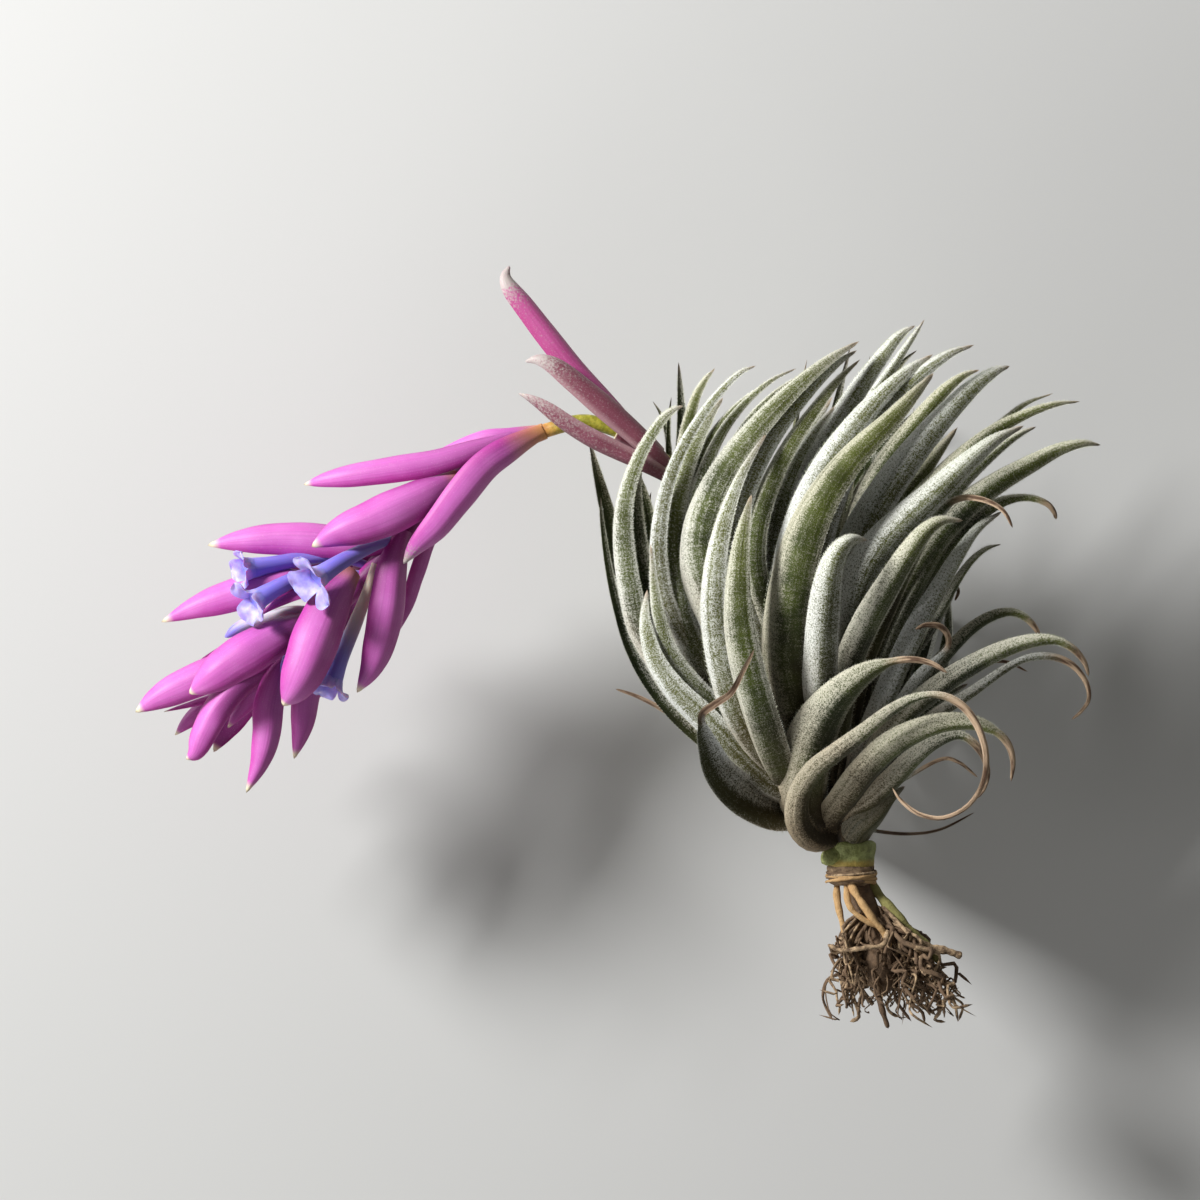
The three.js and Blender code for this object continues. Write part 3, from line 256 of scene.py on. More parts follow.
seen_leaves = [
  # Lower left
  # The first leaf's tone above 1 gives it more silver, partly as painted light to lighten it where it lies
  # in shade
  blade(8.3, (43, 59, 68), 33,-29.4, 28,-29, 22.7,-26.6, 18.4,-22.6, 16.2,-18, 15,-14.3, 15,-11.8, 17.2,-10,
    20,-8, 22,-4.4, 24.1,-0.3, dry=0.6, tone=1.3, opens=(0.3, 0.2, 1)),
  blade(6.6, (43, 51, 50), 34,-27, 28,-25, 22,-19.5, 16,-13.3, 10.5,-8, 7,-3, 5.3,2, 4.8,6, 5.2,10.3),
  blade(2.8, (38, 40, 42), 33,-28, 22,-22, 12,-14, 6,-7, 2.2,0, 0,7, -1.4,13, -2.4,19, -3,24, -3.1,27),
  blade(2.6, (36, 30, 28), 34,-28, 22,-22, 13,-14.5, 7.5,-11, 3.5,-9, -0.5,-7.6, dry=0.5),
  # Upper left
  blade(5.4, (40, 47, 50), 33,-24, 20,-14, 9,-4, 4,3, 2.2,10, 1.2,17, 1,23, 1.8,28.5, 4,34.5, 7.3,40,
    9.6,42.3, 11.6,43.2),
  blade(5.4, (36, 33, 32), 33,-22, 16,-8, 6,4, 1,14, -1.8,24, -3.6,31, -5.2,37.5),
  blade(4.2, (38, 36, 34), 34,-22, 18,-6, 9,6, 6.8,16, 5.2,25, 3.4,31, 1.6,36.2),
  blade(5.2, (42, 50, 53), 34,-24, 24,-17, 15.5,-9, 9.5,-1.5, 7.4,5, 6.4,11, 5.8,18.5),
  blade(4, (42, 50, 53), 35,-22, 24,-12, 14,-2, 9,7, 7.4,15, 7.4,21, 8.6,28, 11.2,35, 15,41.5, 19,46.5,
    22,49.2, 24.6,50.3),
  blade(7.1, (42, 46, 46), 35,-22, 25,-14, 17,-6, 12,2, 10.2,10, 9.6,18, 10.4,25, 12.2,32, 14.6,38, 16.8,42,
    18.8,44.7),
  blade(4, (40, 42, 42), 36,-20, 24,-4, 15,12, 11.5,26, 11.8,36, 13.5,43.5, 15.4,47.6, 17.4,50.1),
  blade(4, (38, 38, 38), 35,-20, 22,-2, 13,14, 11,28, 11.6,38, 11.3,45, 10.9,51.3),
  blade(2, (38, 38, 38), 35,-20, 20,0, 11,18, 9.3,32, 9.1,40, 9.6,45),
  blade(1.6, (36, 34, 34), 34,-20, 18,2, 10.5,20, 9.2,36, 7.9,41.5, 6.3,44.3),
  blade(2.4, (42, 46, 44), 35,-20, 22,-4, 15,10, 13,22, 14,31, 16.6,37.6, 20,42, 23.5,45.2, 27,47.4),
  blade(3.5, (42, 48, 46), 35,-20, 23.2,-4.2, 15.5,8, 12.7,18, 13.3,25.5, 15.8,32.5, 19,39, 23,44,
    27.5,47.8, 32,50),
  blade(3.5, (40, 42, 42), 36,-18, 25,0, 18,16, 18.5,30, 22.5,39, 27.5,45, 33.4,49.3),
  # Middle, with the tips at the top
  blade(8.3, (43, 52, 48), 36,-20, 27,-6, 19.5,4, 15.2,13, 14.8,20.5, 17,27.5, 21,34.5, 26.3,41, 32,46.7,
    38,51.6, 43.2,54.8),
  blade(6.6, (42, 50, 47), 36,-20, 29,-6, 23.5,6, 20.8,17, 21.6,25.5, 24.6,33, 29,40, 34.3,46.3, 39,50.8,
    42.8,53.2),
  blade(7.1, (43, 59, 53), 33,-24, 26.5,-19.5, 21.4,-12, 18.6,-4, 17.3,4, 17.1,11, 17.9,18, 19.7,25,
    22.4,31.6, 26.9,39),
  blade(8, (43, 64, 60), 32,-25, 28.5,-20, 25.8,-13, 23.4,-5, 21.7,3, 21.2,10, 21.6,17, 22.5,22.5,
    23.7,27.2),
  blade(5.4, (42, 50, 46), 36,-18, 31,-6, 27,4, 24.3,13, 24.6,21, 27.2,29, 31,36.5, 35.5,43, 39.5,48,
    43.4,51.6),
  blade(5.2, (42, 45, 44), 37,-18, 32,-4, 28.6,8, 27.6,17, 29,25.5, 32,33, 35.5,39, 39,43.4),
  blade(5.4, (42, 44, 44), 38,-16, 35,0, 33,14, 33.6,26, 37,36, 41,43, 45,49, 48.8,54, 51,56.3, 53.3,57.7),
  blade(3.5, (40, 40, 40), 38,-16, 37,2, 37,18, 39.5,32, 44,42, 48.5,49, 52.5,55, 55.1,58.9),
  blade(2.6, (38, 38, 38), 38,-16, 38,4, 39,22, 43,36, 47.5,45.5, 51,51, 53.8,53.4),
  blade(7.6, (43, 54, 50), 37,-20, 33,-6, 31,6, 31.4,16, 33.8,25, 37.6,33, 42.2,39.5, 47,45, 52,49.6,
    56.3,52.4),
  blade(6.6, (42, 51, 50), 38,-18, 35.5,-4, 34.5,8, 35.5,19, 38.5,28.5, 43,36.5, 48,43, 53.5,48.4, 59,52.3,
    63.7,54.1),
  blade(9.2, (44, 62, 54), 35,-25, 31.8,-15, 29.8,-5, 29.7,3, 30.9,12, 33.4,20.5, 37.3,28, 42.5,34.6,
    48.3,40.3, 52.8,45.2, 56.3,49),
  blade(6.4, (44, 65, 64), 35,-22, 35.6,-13, 36,-5, 36.3,3, 36.9,10, 37.8,14.6, 39.4,17.7, 41.6,19.3,
    44.2,19.1),
  # Upper right
  blade(4.7, (40, 42, 42), 40,-14, 39.5,2, 41,16, 44.6,27, 49,34.5, 54,41, 58.5,46, 62,48.7, 64.9,49.8),
  blade(6.6, (42, 47, 46), 40,-16, 39,-2, 39.8,10, 43.3,20.5, 48.3,28.6, 53.7,35.8, 59,42, 63.8,46.8,
    67.5,49.4, 70.2,50.4),
  blade(2.6, (40, 42, 42), 41,-14, 42.5,4, 48,18, 56,28.5, 63,35.5, 68.5,40, 73,43.6, 78.2,45.6),
  blade(4, (42, 46, 44), 41,-16, 41.5,0, 45.5,13.5, 52,24, 59,31.8, 66,37.8, 72,41.3, 78,43.5, 82.9,44.1),
  blade(7.8, (43, 57, 52), 38.5,-22, 38.8,-10, 40,1, 42.2,10, 46.2,17.2, 51.2,22.8, 57,28.2, 62.5,33.3,
    67.5,37.2, 72.5,39.6),
  blade(4.2, (42, 50, 48), 41,-18, 42.3,-4, 46,7, 51,16, 56.4,23.8, 62,30.2, 67.5,35.2, 71.5,38, 74.9,39.5),
  blade(5.2, (40, 44, 42), 42,-18, 45,-3, 50,8.5, 55.8,18, 62,25, 68,29.4, 74,32.8, 79,35.4, 83.5,36.6,
    86.7,36.3),
  blade(4, (42, 54, 58), 41,-16, 44,-3, 48.5,8, 53,17.5, 56.2,22.6, 58.8,25.6, 61.8,26.7, 64.8,26.4,
    67.6,25.2, 69.2,23.6, 70.3,21.3, dry=0.6),
  blade(3.5, (40, 42, 44), 42,-17, 47,-2, 53,9, 58.5,17, 63,22, 67,25.2, 71,26.7, 74.5,26.7, 77,25.7,
    78.2,24.3, 78.6,22.9, dry=0.8),
  blade(5.9, (44, 60, 61), 38,-22, 39.5,-12, 41.2,-3, 44,4, 47.6,10.5, 51.3,16.6, 54.4,20.6, 57.5,22.6,
    61.4,22.6),
  # Right
  blade(5.4, (42, 46, 42), 41,-24, 45.5,-14, 49.3,-5, 53,3, 57,9.8, 60.8,16.2, 64.5,21.3, 69,24.4),
  blade(2.4, (40, 40, 40), 43,-20, 49,-7, 55,2, 58.4,7.5, 61,12, 63.6,15.6, 66.2,17.7, 68.9,18.5),
  blade(2, (40, 38, 36), 43,-20, 50,-6, 56.5,3, 59.6,8.3, 60.7,10.8, 61.3,9.9, 60.7,8.3, dry=0.7),
  blade(4.7, (42, 50, 53), 41,-27, 46,-19, 50.5,-11, 54,-5.3, 57,-2.2, 58.9,0, 58.9,2.2, 57.4,3.8, 55,4,
    53,3.2, dry=0.6),
  blade(3.3, (40, 41, 42), 43,-26, 48,-16, 53.6,-7.8, 58.5,-1.7, 63,2.9, 67,5.5, 70.5,6.3, 73.2,5.3, 75,3.4,
    75.9,1.5, dry=0.85),
  blade(5.2, (43, 51, 48), 42,-26, 46,-18.5, 51,-12.4, 56.5,-7.7, 62,-3.9, 68,-0.7, 73.5,1.1, 78,1.3,
    81.3,-0.2, 83.4,-2.6, 84.3,-5.2, dry=0.82),
  blade(2.8, (40, 40, 38), 43,-26, 50,-18, 57,-12.3, 63,-8.5, 69,-4.3, 73.5,-2, 78,-1.7, 81.7,-3.2,
    84.2,-6.3, 84.7,-9.3, 83.4,-11.5, 81.6,-13.1, dry=0.6),
  blade(1.8, (40, 34, 32), 44,-22, 52,-13, 60,-6.5, 66,-3.2, 70,-2.7, 74,-4.5, dry=0.5),
  # Lower right, with the curled tips
  blade(9.4, (44, 61, 66), 34,-29, 33.2,-23, 34,-17, 36.4,-11.8, 39.8,-7.6, 43.8,-4.4, 48,-2.6, 52,-2.1,
    55.6,-2.8, 58.4,-4.5, dry=0.74, tone=0.1),
  blade(5.2, (44, 64, 58), 35.6,-34.8, 32.4,-31.5, 32.3,-26.5, 34.7,-22, 38.8,-18.6, 43.5,-15, 48,-11.4,
    52.5,-8.9, 57,-8.4, 60.7,-10, 63.3,-13, 64.9,-17, 65.3,-21, 64.3,-25, 61.6,-28.5, 57.5,-30.3,
    53.5,-29.6, 50.4,-27.3, 48.8,-24.9, dry=0.5, tone=0.1),
  blade(7.1, (42, 57, 58), 38,-31, 40.8,-26.6, 44.2,-21.8, 48.3,-17.5, 53,-14.8, 58,-13.3, 63,-13.3,
    67,-14.8, 69.4,-17.2, 70.3,-20.4, 70,-23.9, dry=0.78, tone=0),
  blade(5.4, (42, 50, 52), 41,-30, 45,-27.3, 49,-23.6, 52.6,-19.8, 56.4,-17, 60.3,-15.6, 63,-16.6,
    65.2,-19.2, 66,-22.3, 65.5,-25, 64.2,-27, dry=0.66, tone=0.2),
  blade(2, (40, 44, 44), 42,-29, 50,-24.5, 57.5,-20.3, 61,-20.6, 64.6,-23.4, dry=0.5),
  blade(6.4, (40, 43, 42), 41.9,-34.2, 43.5,-32.2, 45.8,-30, 48.5,-27.4, 51.5,-25, dead=0.6, tone=0),
  blade(1.8, (36, 30, 26), 40,-32, 47,-33.3, 53,-33.8, 58.5,-33, 64.6,-30, dry=0.4),
  # Inside the tuft, seen between the others
  blade(6, (37, 40, 42), 33,-22, 20,-8, 9,4, 4.6,14, 3.2,24, 3.4,32, 5,38),
  blade(7, (38, 41, 42), 34,-20, 24,-4, 15,10, 12.4,20, 13,30, 15.5,38),
  blade(7.4, (38, 42, 42), 35,-20, 28,-2, 21.5,12, 19.5,24, 22,34, 27,42),
  blade(7.4, (38, 42, 42), 37,-18, 33,0, 28,14, 28.5,26, 33,36, 38.5,45),
  blade(7.4, (38, 42, 42), 39,-16, 39,2, 37,16, 39,28, 44,38, 49,46),
  blade(7.4, (38, 42, 42), 41,-16, 43,0, 44,12, 49,23, 55,32, 61,39.5),
  blade(7, (38, 42, 42), 42,-18, 46,-4, 51,8, 57,18, 63,26, 69,32),
  blade(6.4, (38, 40, 40), 42,-22, 47,-11, 51.5,-2, 55,4.5, 58,10),
  blade(5.4, (38, 38, 38), 42,-26, 47,-19, 52.5,-13.4, 58,-9.4, 63,-6.6),
  blade(6.4, (37, 34, 33), 33,-26, 24,-20, 15,-11, 8,-2, 4.6,8, 4,18, 6,28),
]

resting_leaves = [
  blade(6.2, (34, -0.6, 20), 33,-28, 26,-24, 18.5,-17.5, 12,-10.5, 8.4,-3, 7.5,5, 9,13),
  blade(6.4, (34, 2.8, 10), 33,-26, 25,-20, 16,-9, 10,3, 8,14, 9.5,26, 15,37),
  blade(6, (34, 5.5, 9), 35,-25, 29,-17, 23,-6, 19,6, 18.5,19, 22,31, 28,42),
  blade(6.6, (34, 3.6, 7), 37,-24, 35.5,-14, 35,-1, 36.5,12, 41,25, 48,36, 56,44),
  blade(6.4, (34, 5, 7), 41,-26, 47.5,-17, 52,-8, 54.5,0, 56,6, 57,10),
  blade(5.8, (34, 0.6, 14), 39,-28, 44,-24, 49,-19, 53,-15.5, 57,-13, 60,-12.5, 63,-13.5),
]


AXIS_HEIGHT = 38
GOLDEN_SHARE = 0.381966
SIDE_LEAN = 0.65
DRAW_STEP = 16807
DRAW_RANGE = 2147483647


def hidden_leaves(count):
    """The far side and the inside of the tuft, placed by the golden angle with a seeded draw."""
    state = 7

    def draw(low, high):
        nonlocal state
        state = (state * DRAW_STEP) % DRAW_RANGE
        return low + (high - low) * (state / DRAW_RANGE)

    leaves = []
    for index in range(count):
        age = index / count
        turn = math.pi * (1.03 + 0.94 * ((index * GOLDEN_SHARE) % 1))
        belly = 13 + 18 * age + draw(-2, 1)
        tip_out = 8 + 21 * age + draw(-3, 2)
        reach = 74 - 38 * age + draw(-5, 5)
        sweep_right = 5 + 3 * age + draw(-3, 3)
        width = 4 + 2.4 * age + draw(-0.4, 0.6)
        line = []
        for s in (0, 0.2, 0.4, 0.6, 0.8, 1):
            out = 4 * (1 - s) * (1 - 2 * s) + 4 * belly * s * (1 - s) + tip_out * s * (2 * s - 1)
            line += [37 + SIDE_LEAN * out * math.cos(turn) + sweep_right * s * s,
                     -20 - 8 * age + reach * s ** (1 + 0.3 * age)]
        heights = [AXIS_HEIGHT + out * math.sin(turn) for out in (4, belly, tip_out)]
        leaves.append(blade(width, heights, *line))
    return leaves


def linear(red, green, blue):
    """A colour as the eye reads it, from 0 to 255, in the light values that a shader takes."""
    parts = [value / 255 for value in (red, green, blue)]
    return (*(part / 12.92 if part < 0.04045 else ((part + 0.055) / 1.055) ** 2.4 for part in parts), 1)


class Finish:
    """A material while it is being painted, with its nodes and its surface shader."""

    def __init__(self, name, roughness, **sockets):
        self.material = bpy.data.materials.new(name)
        self.material.use_nodes = True
        self.tree = self.material.node_tree
        self.surface = self.tree.nodes["Principled BSDF"]
        for socket, value in dict(Roughness=roughness, **sockets).items():
            self.surface.inputs[socket.replace("_", " ")].default_value = value

    def node(self, kind, settings=None, **inputs):
        """Adds a node. Its inputs are named, or numbered as i0, i1. Each is a value or another's output."""
        made = self.tree.nodes.new("ShaderNode" + kind)
        for key, value in (settings or {}).items():
            setattr(made, key, value)
        for key, value in inputs.items():
            socket = made.inputs[int(key[1:])] if key[1:].isdigit() else made.inputs[key.replace("_", " ")]
            if isinstance(value, bpy.types.NodeSocket):
                self.tree.links.new(value, socket)
            else:
                socket.default_value = value
        return made

    def maths(self, operation, first, second=0.0):
        return self.node("Math", {"operation": operation}, i0=first, i1=second).outputs[0]

    def times(self, first, second):
        return self.maths("MULTIPLY", first, second)

    def centred(self, value):
        return self.maths("SUBTRACT", value, 0.5)

    def plus(self, value, *pairs):
        """value with each (other value, share) pair added."""
        for other, share in pairs:
            value = self.maths("ADD", value, self.times(other, share))
        return value

    def fade(self, value, start, end, low=0.0, high=1.0):
        """A soft step from low to high as value goes from start to end."""
        return self.node("MapRange", {"interpolation_type": "SMOOTHSTEP"},
                         i0=value, i1=start, i2=end, i3=low, i4=high).outputs[0]

    def mix(self, share, first, second):
        """Two colours mixed by a share, or by what fade takes in brackets. A colour is a node's output, or
        red, green and blue from 0 to 255."""
        share = self.fade(*share) if isinstance(share, tuple) else share
        first, second = (linear(*each) if isinstance(each, tuple) else each for each in (first, second))
        return self.node("Mix", {"data_type": "RGBA"}, i0=share, i6=first, i7=second).outputs[2]

    def grain(self, size_mm, detail=3, rough=0.55):
        """Noise on the object's own coordinates, with features of about size_mm."""
        place = self.node("TexCoord").outputs["Object"]
        return self.node("TexNoise", i0=place, Scale=1000 / size_mm, Detail=detail,
                         Roughness=rough).outputs[0]

    def skin_values(self):
        """Reads the places round the blade and along it. Returns the four values of the attribute shade."""
        uv = self.node("SeparateXYZ", i0=self.node("UVMap", {"uv_map": "skin"}).outputs[0])
        attribute = self.node("Attribute", {"attribute_name": "shade"})
        first, tone, share = self.node("SeparateColor", i0=attribute.outputs["Color"]).outputs
        self.around, self.length, self.tone = uv.outputs[0], uv.outputs[1], tone
        return first, tone, share, attribute.outputs["Alpha"]

    def sides(self, margin_from):
        """How far a place is to the back and to the right, from 1 to -1, and how far at a margin and inside,
        from 1 to 0."""
        turn = self.times(self.around, 2 * math.pi)
        back, right = self.maths("SINE", turn), self.maths("COSINE", turn)
        margin = self.fade(self.maths("ABSOLUTE", right), margin_from, 1)
        return back, right, margin, self.fade(back, 0.05, -0.05)

    def lengthwise(self, across, lengthways):
        """Noise drawn out along a blade, different on each blade."""
        place = self.node("CombineXYZ", i0=self.times(self.around, across),
                          i1=self.times(self.length, lengthways), i2=self.times(self.tone, 40)).outputs[0]
        return self.node("TexNoise", i0=place, Scale=1.0, Detail=2.0).outputs[0]

    def paint(self, colour):
        self.tree.links.new(colour, self.surface.inputs["Base Color"])

    def bumped(self, height, depth_mm, strength):
        bump = self.node("Bump", Strength=strength, Distance=depth_mm * MM, Height=height)
        self.tree.links.new(bump.outputs[0], self.surface.inputs["Normal"])


LEAF_COVER = 0.62


def leaf_material():
    """Silver scales over green, thickest on the back, the margins and the upper part. Fewer show in the
    channel, partly fewer scales and partly painted shade, and on the right-hand flank, as painted shade."""
    skin = Finish("silver_leaf", 0.62, Specular_IOR_Level=0.35, Sheen_Weight=0.08, Sheen_Roughness=0.4,
                  Sheen_Tint=linear(236, 244, 230))
    dry, tone, share, dead = skin.skin_values()
    _, right, margin, inner = skin.sides(0.7)
    # Painted shade: the right-hand flank of each blade loses scales and shows dark green
    flank = skin.fade(right, -0.5, 0.3)
    patches, scales, dust = skin.grain(9, 2), skin.grain(0.32, 2, 0.6), skin.grain(0.19, 1, 0.6)
    lines, rows, streaks = skin.lengthwise(34, 2.5), skin.lengthwise(6, 230), skin.lengthwise(6, 9)

    # How much of the green the scales hide, from large patches down to the single scale, with fewer in the
    # channel, partly as painted shade, and on the right-hand flank as painted shade
    cover = skin.plus(LEAF_COVER, (margin, 0.5), (skin.centred(patches), 0.7), (skin.centred(tone), 0.26),
                      (skin.centred(lines), 0.8), (inner, -0.4), (flank, -0.6),
                      (skin.fade(share, 0.02, 0.5), 0.18), (skin.fade(share, 0.7, 0.95), 0.22))
    speck = skin.plus(0.0, (skin.centred(scales), 0.9), (skin.centred(dust), 1.7),
                      (skin.centred(rows), 0.6))
    white = skin.fade(skin.maths("ADD", cover, speck), 0.0, 1.0)

    # The green is yellower up the leaf and darkest in the channel, which is painted shade, and shows in the
    # gaps between scales
    green = skin.mix((patches, 0.35, 0.65), (34, 46, 4), (74, 86, 18))
    green = skin.mix((tone, 0.5, 1, 0, 0.6), green, (94, 92, 22))
    green = skin.mix((share, 0.4, 0.95, 0, 0.6), green, (108, 114, 34))
    # Painted shade: the green darkened inside the channel
    green = skin.mix(skin.times(inner, 0.7), green, (26, 40, 8))
    silver = skin.mix(tone, (208, 203, 180), (238, 240, 236))
    silver = skin.mix((share, 0.5, 0.9, 0, 0.2), silver, (204, 208, 164))
    gaps = skin.fade(skin.plus(scales, (skin.centred(dust), 0.8)), 0.5, 0.32, 0, 0.6)
    colour = skin.mix(gaps, skin.mix(white, green, silver), green)

    # Beige at the base, brown at the foot, greyer at the tip, with a dusting of brown specks
    base = skin.fade(skin.plus(share, (patches, 0.3), (lines, 0.1)), 0.66, 0.24, 0, 0.88)
    colour = skin.mix(base, colour, skin.mix(white, (64, 48, 20), (204, 186, 156)))
    foot = skin.fade(skin.plus(share, (patches, 0.06)), 0.2, 0.07, 0, 0.75)
    colour = skin.mix(foot, colour, skin.mix(white, (42, 30, 14), (138, 114, 82)))
    tip = skin.fade(skin.plus(share, (scales, 0.2)), 0.92, 1.12, 0, 0.45)
    colour = skin.mix(tip, colour, (176, 162, 156))
    colour = skin.mix((dust, 0.6, 0.68, 0, 0.3), colour, (66, 52, 30))

    # Dead brown sheaths round the foot of the tuft, partly painted shade in its heart, and tan husk where a
    # tip has dried, with painted shade on its inside and partly painted highlight on its margins
    brown = skin.mix((lines, 0.35, 0.65), (40, 32, 20), (92, 76, 52))
    colour = skin.mix(dead, colour, brown)
    husk = skin.mix((streaks, 0.4, 0.62), (196, 168, 138), (96, 70, 50))
    # Painted shade: the husk is darker on its inside
    husk = skin.mix(skin.times(inner, 0.6), husk, (78, 54, 38))
    # Paler husk margins, partly their own colour and partly painted highlight
    husk = skin.mix(skin.times(margin, 0.5), husk, (218, 192, 164))
    skin.paint(skin.mix(dry, colour, husk))
    skin.bumped(skin.plus(0.0, (speck, 0.5), (lines, 0.9)), 0.2, 0.9)
    return skin.material


rng = random.Random(11)
leaf_skin = leaf_material()

tuft = new_skin()
for leaf in seen_leaves:
    add_leaf(tuft, leaf, 18, 30 + 2 * len(leaf["line"]))
finished(tuft, "leaves_near", leaf_skin, ["leaves"])

far_side = new_skin()
for leaf in hidden_leaves(20) + resting_leaves:
    leaf["steepness"] = 0
    add_leaf(far_side, leaf, 16, 40)
for vert in far_side.verts:
    vert.co.z = max(vert.co.z, TABLE_GAP * MM)
finished(far_side, "leaves_far", leaf_skin, [])

# The heart is brown sheath colour all over: partly old sheaths, partly painted shade for the dark gap
# between the leaf bases
heart = new_skin()
heart_line = in_metres((41.6, -34.6, 38), (39.5, -27, 38), (37.5, -19, 38), (36.5, -10, 38))
HEART_GIRTH = [[0, 4.2], [0.2, 5], [0.4, 6], [0.65, 5.4], [0.85, 3.4], [1, 0.2]]
tube(heart, heart_line, lambda share: smoothly(HEART_GIRTH, share), 24, 24,
     lambda share, turn: (0, 0.2, 0.1, 1))
finished(heart, "leaf_heart", leaf_skin, [])

# Fringe. The silver scales stand out from the edges of the leaves as a fine fringe of short stiff hairs.
# Each is rooted in the edge and leans towards the leaf's tip.

HAIR_GAP = 0.42
HAIR_DEPTH = 0.08
HAIR_LENGTHS = (0.25, 0.5)
HAIR_WIDTH, HAIR_THICKNESS = 0.09, 0.05
hair_draw = random.Random(5)


def edge_hairs(leaf):
    """[root, way, across, length] of the hairs along both edges of a leaf, as far as its dry tip."""
    points, opens = leaf_course(leaf)
    dry_from = leaf.get("dry", 1)
    count = int(sum((b - a).length for a, b in zip(points, points[1:])) / (HAIR_GAP * MM))
    hairs = []
    for index in range(count):
        for edge in (-1, 1):
            share = (index + hair_draw.random()) / count
            length = hair_draw.uniform(*HAIR_LENGTHS) * MM
            lean = hair_draw.uniform(-0.5, 0.3)
            half = leaf_width(leaf["width"], share, dry_from) * MM / 2
            if share < 0.1 or share > dry_from - 0.05 or half < 0.3 * MM:
                continue
            tangent = heading(points, share)
            up = (opens - tangent * tangent.dot(opens)).normalized()
            side = up.cross(tangent) * edge
            way = (side + 0.7 * tangent + lean * up).normalized()
            hairs.append((on_line(points, share) + side * (half - HAIR_DEPTH * MM), way, tangent, length))
    return hairs


hairs = [hair for leaf in seen_leaves for hair in edge_hairs(leaf)]
fringe = new_skin()
number = fringe.verts.layers.int.new("number")
bmesh.ops.create_cone(fringe, cap_ends=True, segments=3, radius1=1, radius2=0, depth=1)
bmesh.ops.remove_doubles(fringe, verts=fringe.verts, dist=0.01)
# One hair is doubled until there are enough of them, each with its own number
made = 1
while made < len(hairs):
    hair_parts = fringe.verts[:] + fringe.edges[:] + fringe.faces[:]
    for item in bmesh.ops.duplicate(fringe, geom=hair_parts)["geom"]:
        if isinstance(item, bmesh.types.BMVert):
            item[number] += made
    made *= 2
spare = [vert for vert in fringe.verts if vert[number] >= len(hairs)]
bmesh.ops.delete(fringe, geom=spare, context="VERTS")
for vert in fringe.verts:
    root, way, across, length = hairs[vert[number]]
    x, y, z = vert.co
    girth = across * x * HAIR_WIDTH + way.cross(across) * y * HAIR_THICKNESS
    vert.co = root + way * (z + 0.5) * length + girth * MM
hair_skin = Finish("silver_hair", 0.5, Specular_IOR_Level=0.4)
hair_skin.paint(hair_skin.mix((hair_skin.grain(3, 2), 0.35, 0.65), (196, 200, 168),
                              (238, 238, 226)))
finished(fringe, "leaf_fringe", hair_skin.material, [])

# Scape. The flower stalk is a smooth, slightly waxy round stem, yellow-green where it leaves the leaves and
# orange-tan where it turns down into the flower head. It grows out of the heart of the tuft.

SCAPE_RADIUS = 1.35
scape_line = in_metres((36.5, -16, 38), (33, -4, 39), (25, 13, 40), (14, 28, 41.5), (4, 36.6, 42.5),
                       (-2, 39.6, 43), (-7, 40.4, 43), (-12.6, 39, 42.6))
scape_end = Vector((-14.2, 38.3, 42.4)) * MM


def scape_material():
    """Green under the leaves and tan near the head, with pale specks."""
    skin = Finish("scape_skin", 0.42, Coat_Weight=0.15, Coat_Roughness=0.3, Subsurface_Weight=0.15,
                  Subsurface_Scale=0.001)
    share = skin.skin_values()[2]
    streak = skin.grain(0.9, 3, 0.6)
    green = skin.mix((streak, 0.35, 0.65), (138, 136, 40), (182, 174, 66))
    tan = skin.mix((streak, 0.3, 0.7), (188, 118, 56), (214, 154, 88))
    colour = skin.mix((skin.plus(share, (streak, 0.05)), 0.8, 0.94), green, tan)
    skin.paint(skin.mix((skin.grain(0.3, 2), 0.62, 0.72, 0, 0.4), colour, (222, 210, 160)))
    skin.bumped(streak, 0.08, 0.5)
    return skin.material


scape = new_skin()
tube(scape, scape_line + [scape_end],
     lambda share: SCAPE_RADIUS * (1 + 0.04 * math.sin(20 * share)), 20, 70)
finished(scape, "scape_stalk", scape_material(), ["scape"])

# Floral bracts. Each is a smooth, waxy, boat-shaped pink scale folded along its keel, lighter and finely
# silvered towards its cream point. They overlap along the axis of the head and are fixed to it by their
# bases.

BRACT_OUTLINE = [[0, 0.4], [0.2, 0.84], [0.45, 1], [0.7, 0.84], [0.88, 0.44], [0.96, 0.18], [1, 0.02]]
BRACT_KEEL = 0.42
BRACT_THICKNESS = 0.35
FULL_TAN, FULL_TAN_REACH, TAN_REACH = 1, 0.22, 0.1


def add_bract(bm, bract, around=24, rings=44):
    width = bract["width"] * MM
    points = rising(bract["line"], bract["heights"])
    tone = rng.random()

    def section(share, turn):
        half = width * smoothly(BRACT_OUTLINE, share) / 2
        keel = BRACT_KEEL * 2 * half
        inner = max(0, 0.45 * keel - BRACT_THICKNESS * MM)
        c, s = math.cos(turn), math.sin(turn)
        round_back = 0.75 * math.sqrt(max(0, 1 - c * c)) + 0.25 * (1 - abs(c))
        return half * c, -keel * round_back if s >= 0 else -inner * (1 - c * c)

    def shade(share, turn):
        tan = bract.get("tan", 0)
        tan *= max(0, 1 - share / (FULL_TAN_REACH if tan == FULL_TAN else TAN_REACH))
        return tan, tone, share, along(bract.get("frost", [[0, 0], [1, 0]]), share)

    sweep(bm, points, section, bract["opens"], around, rings, shade)


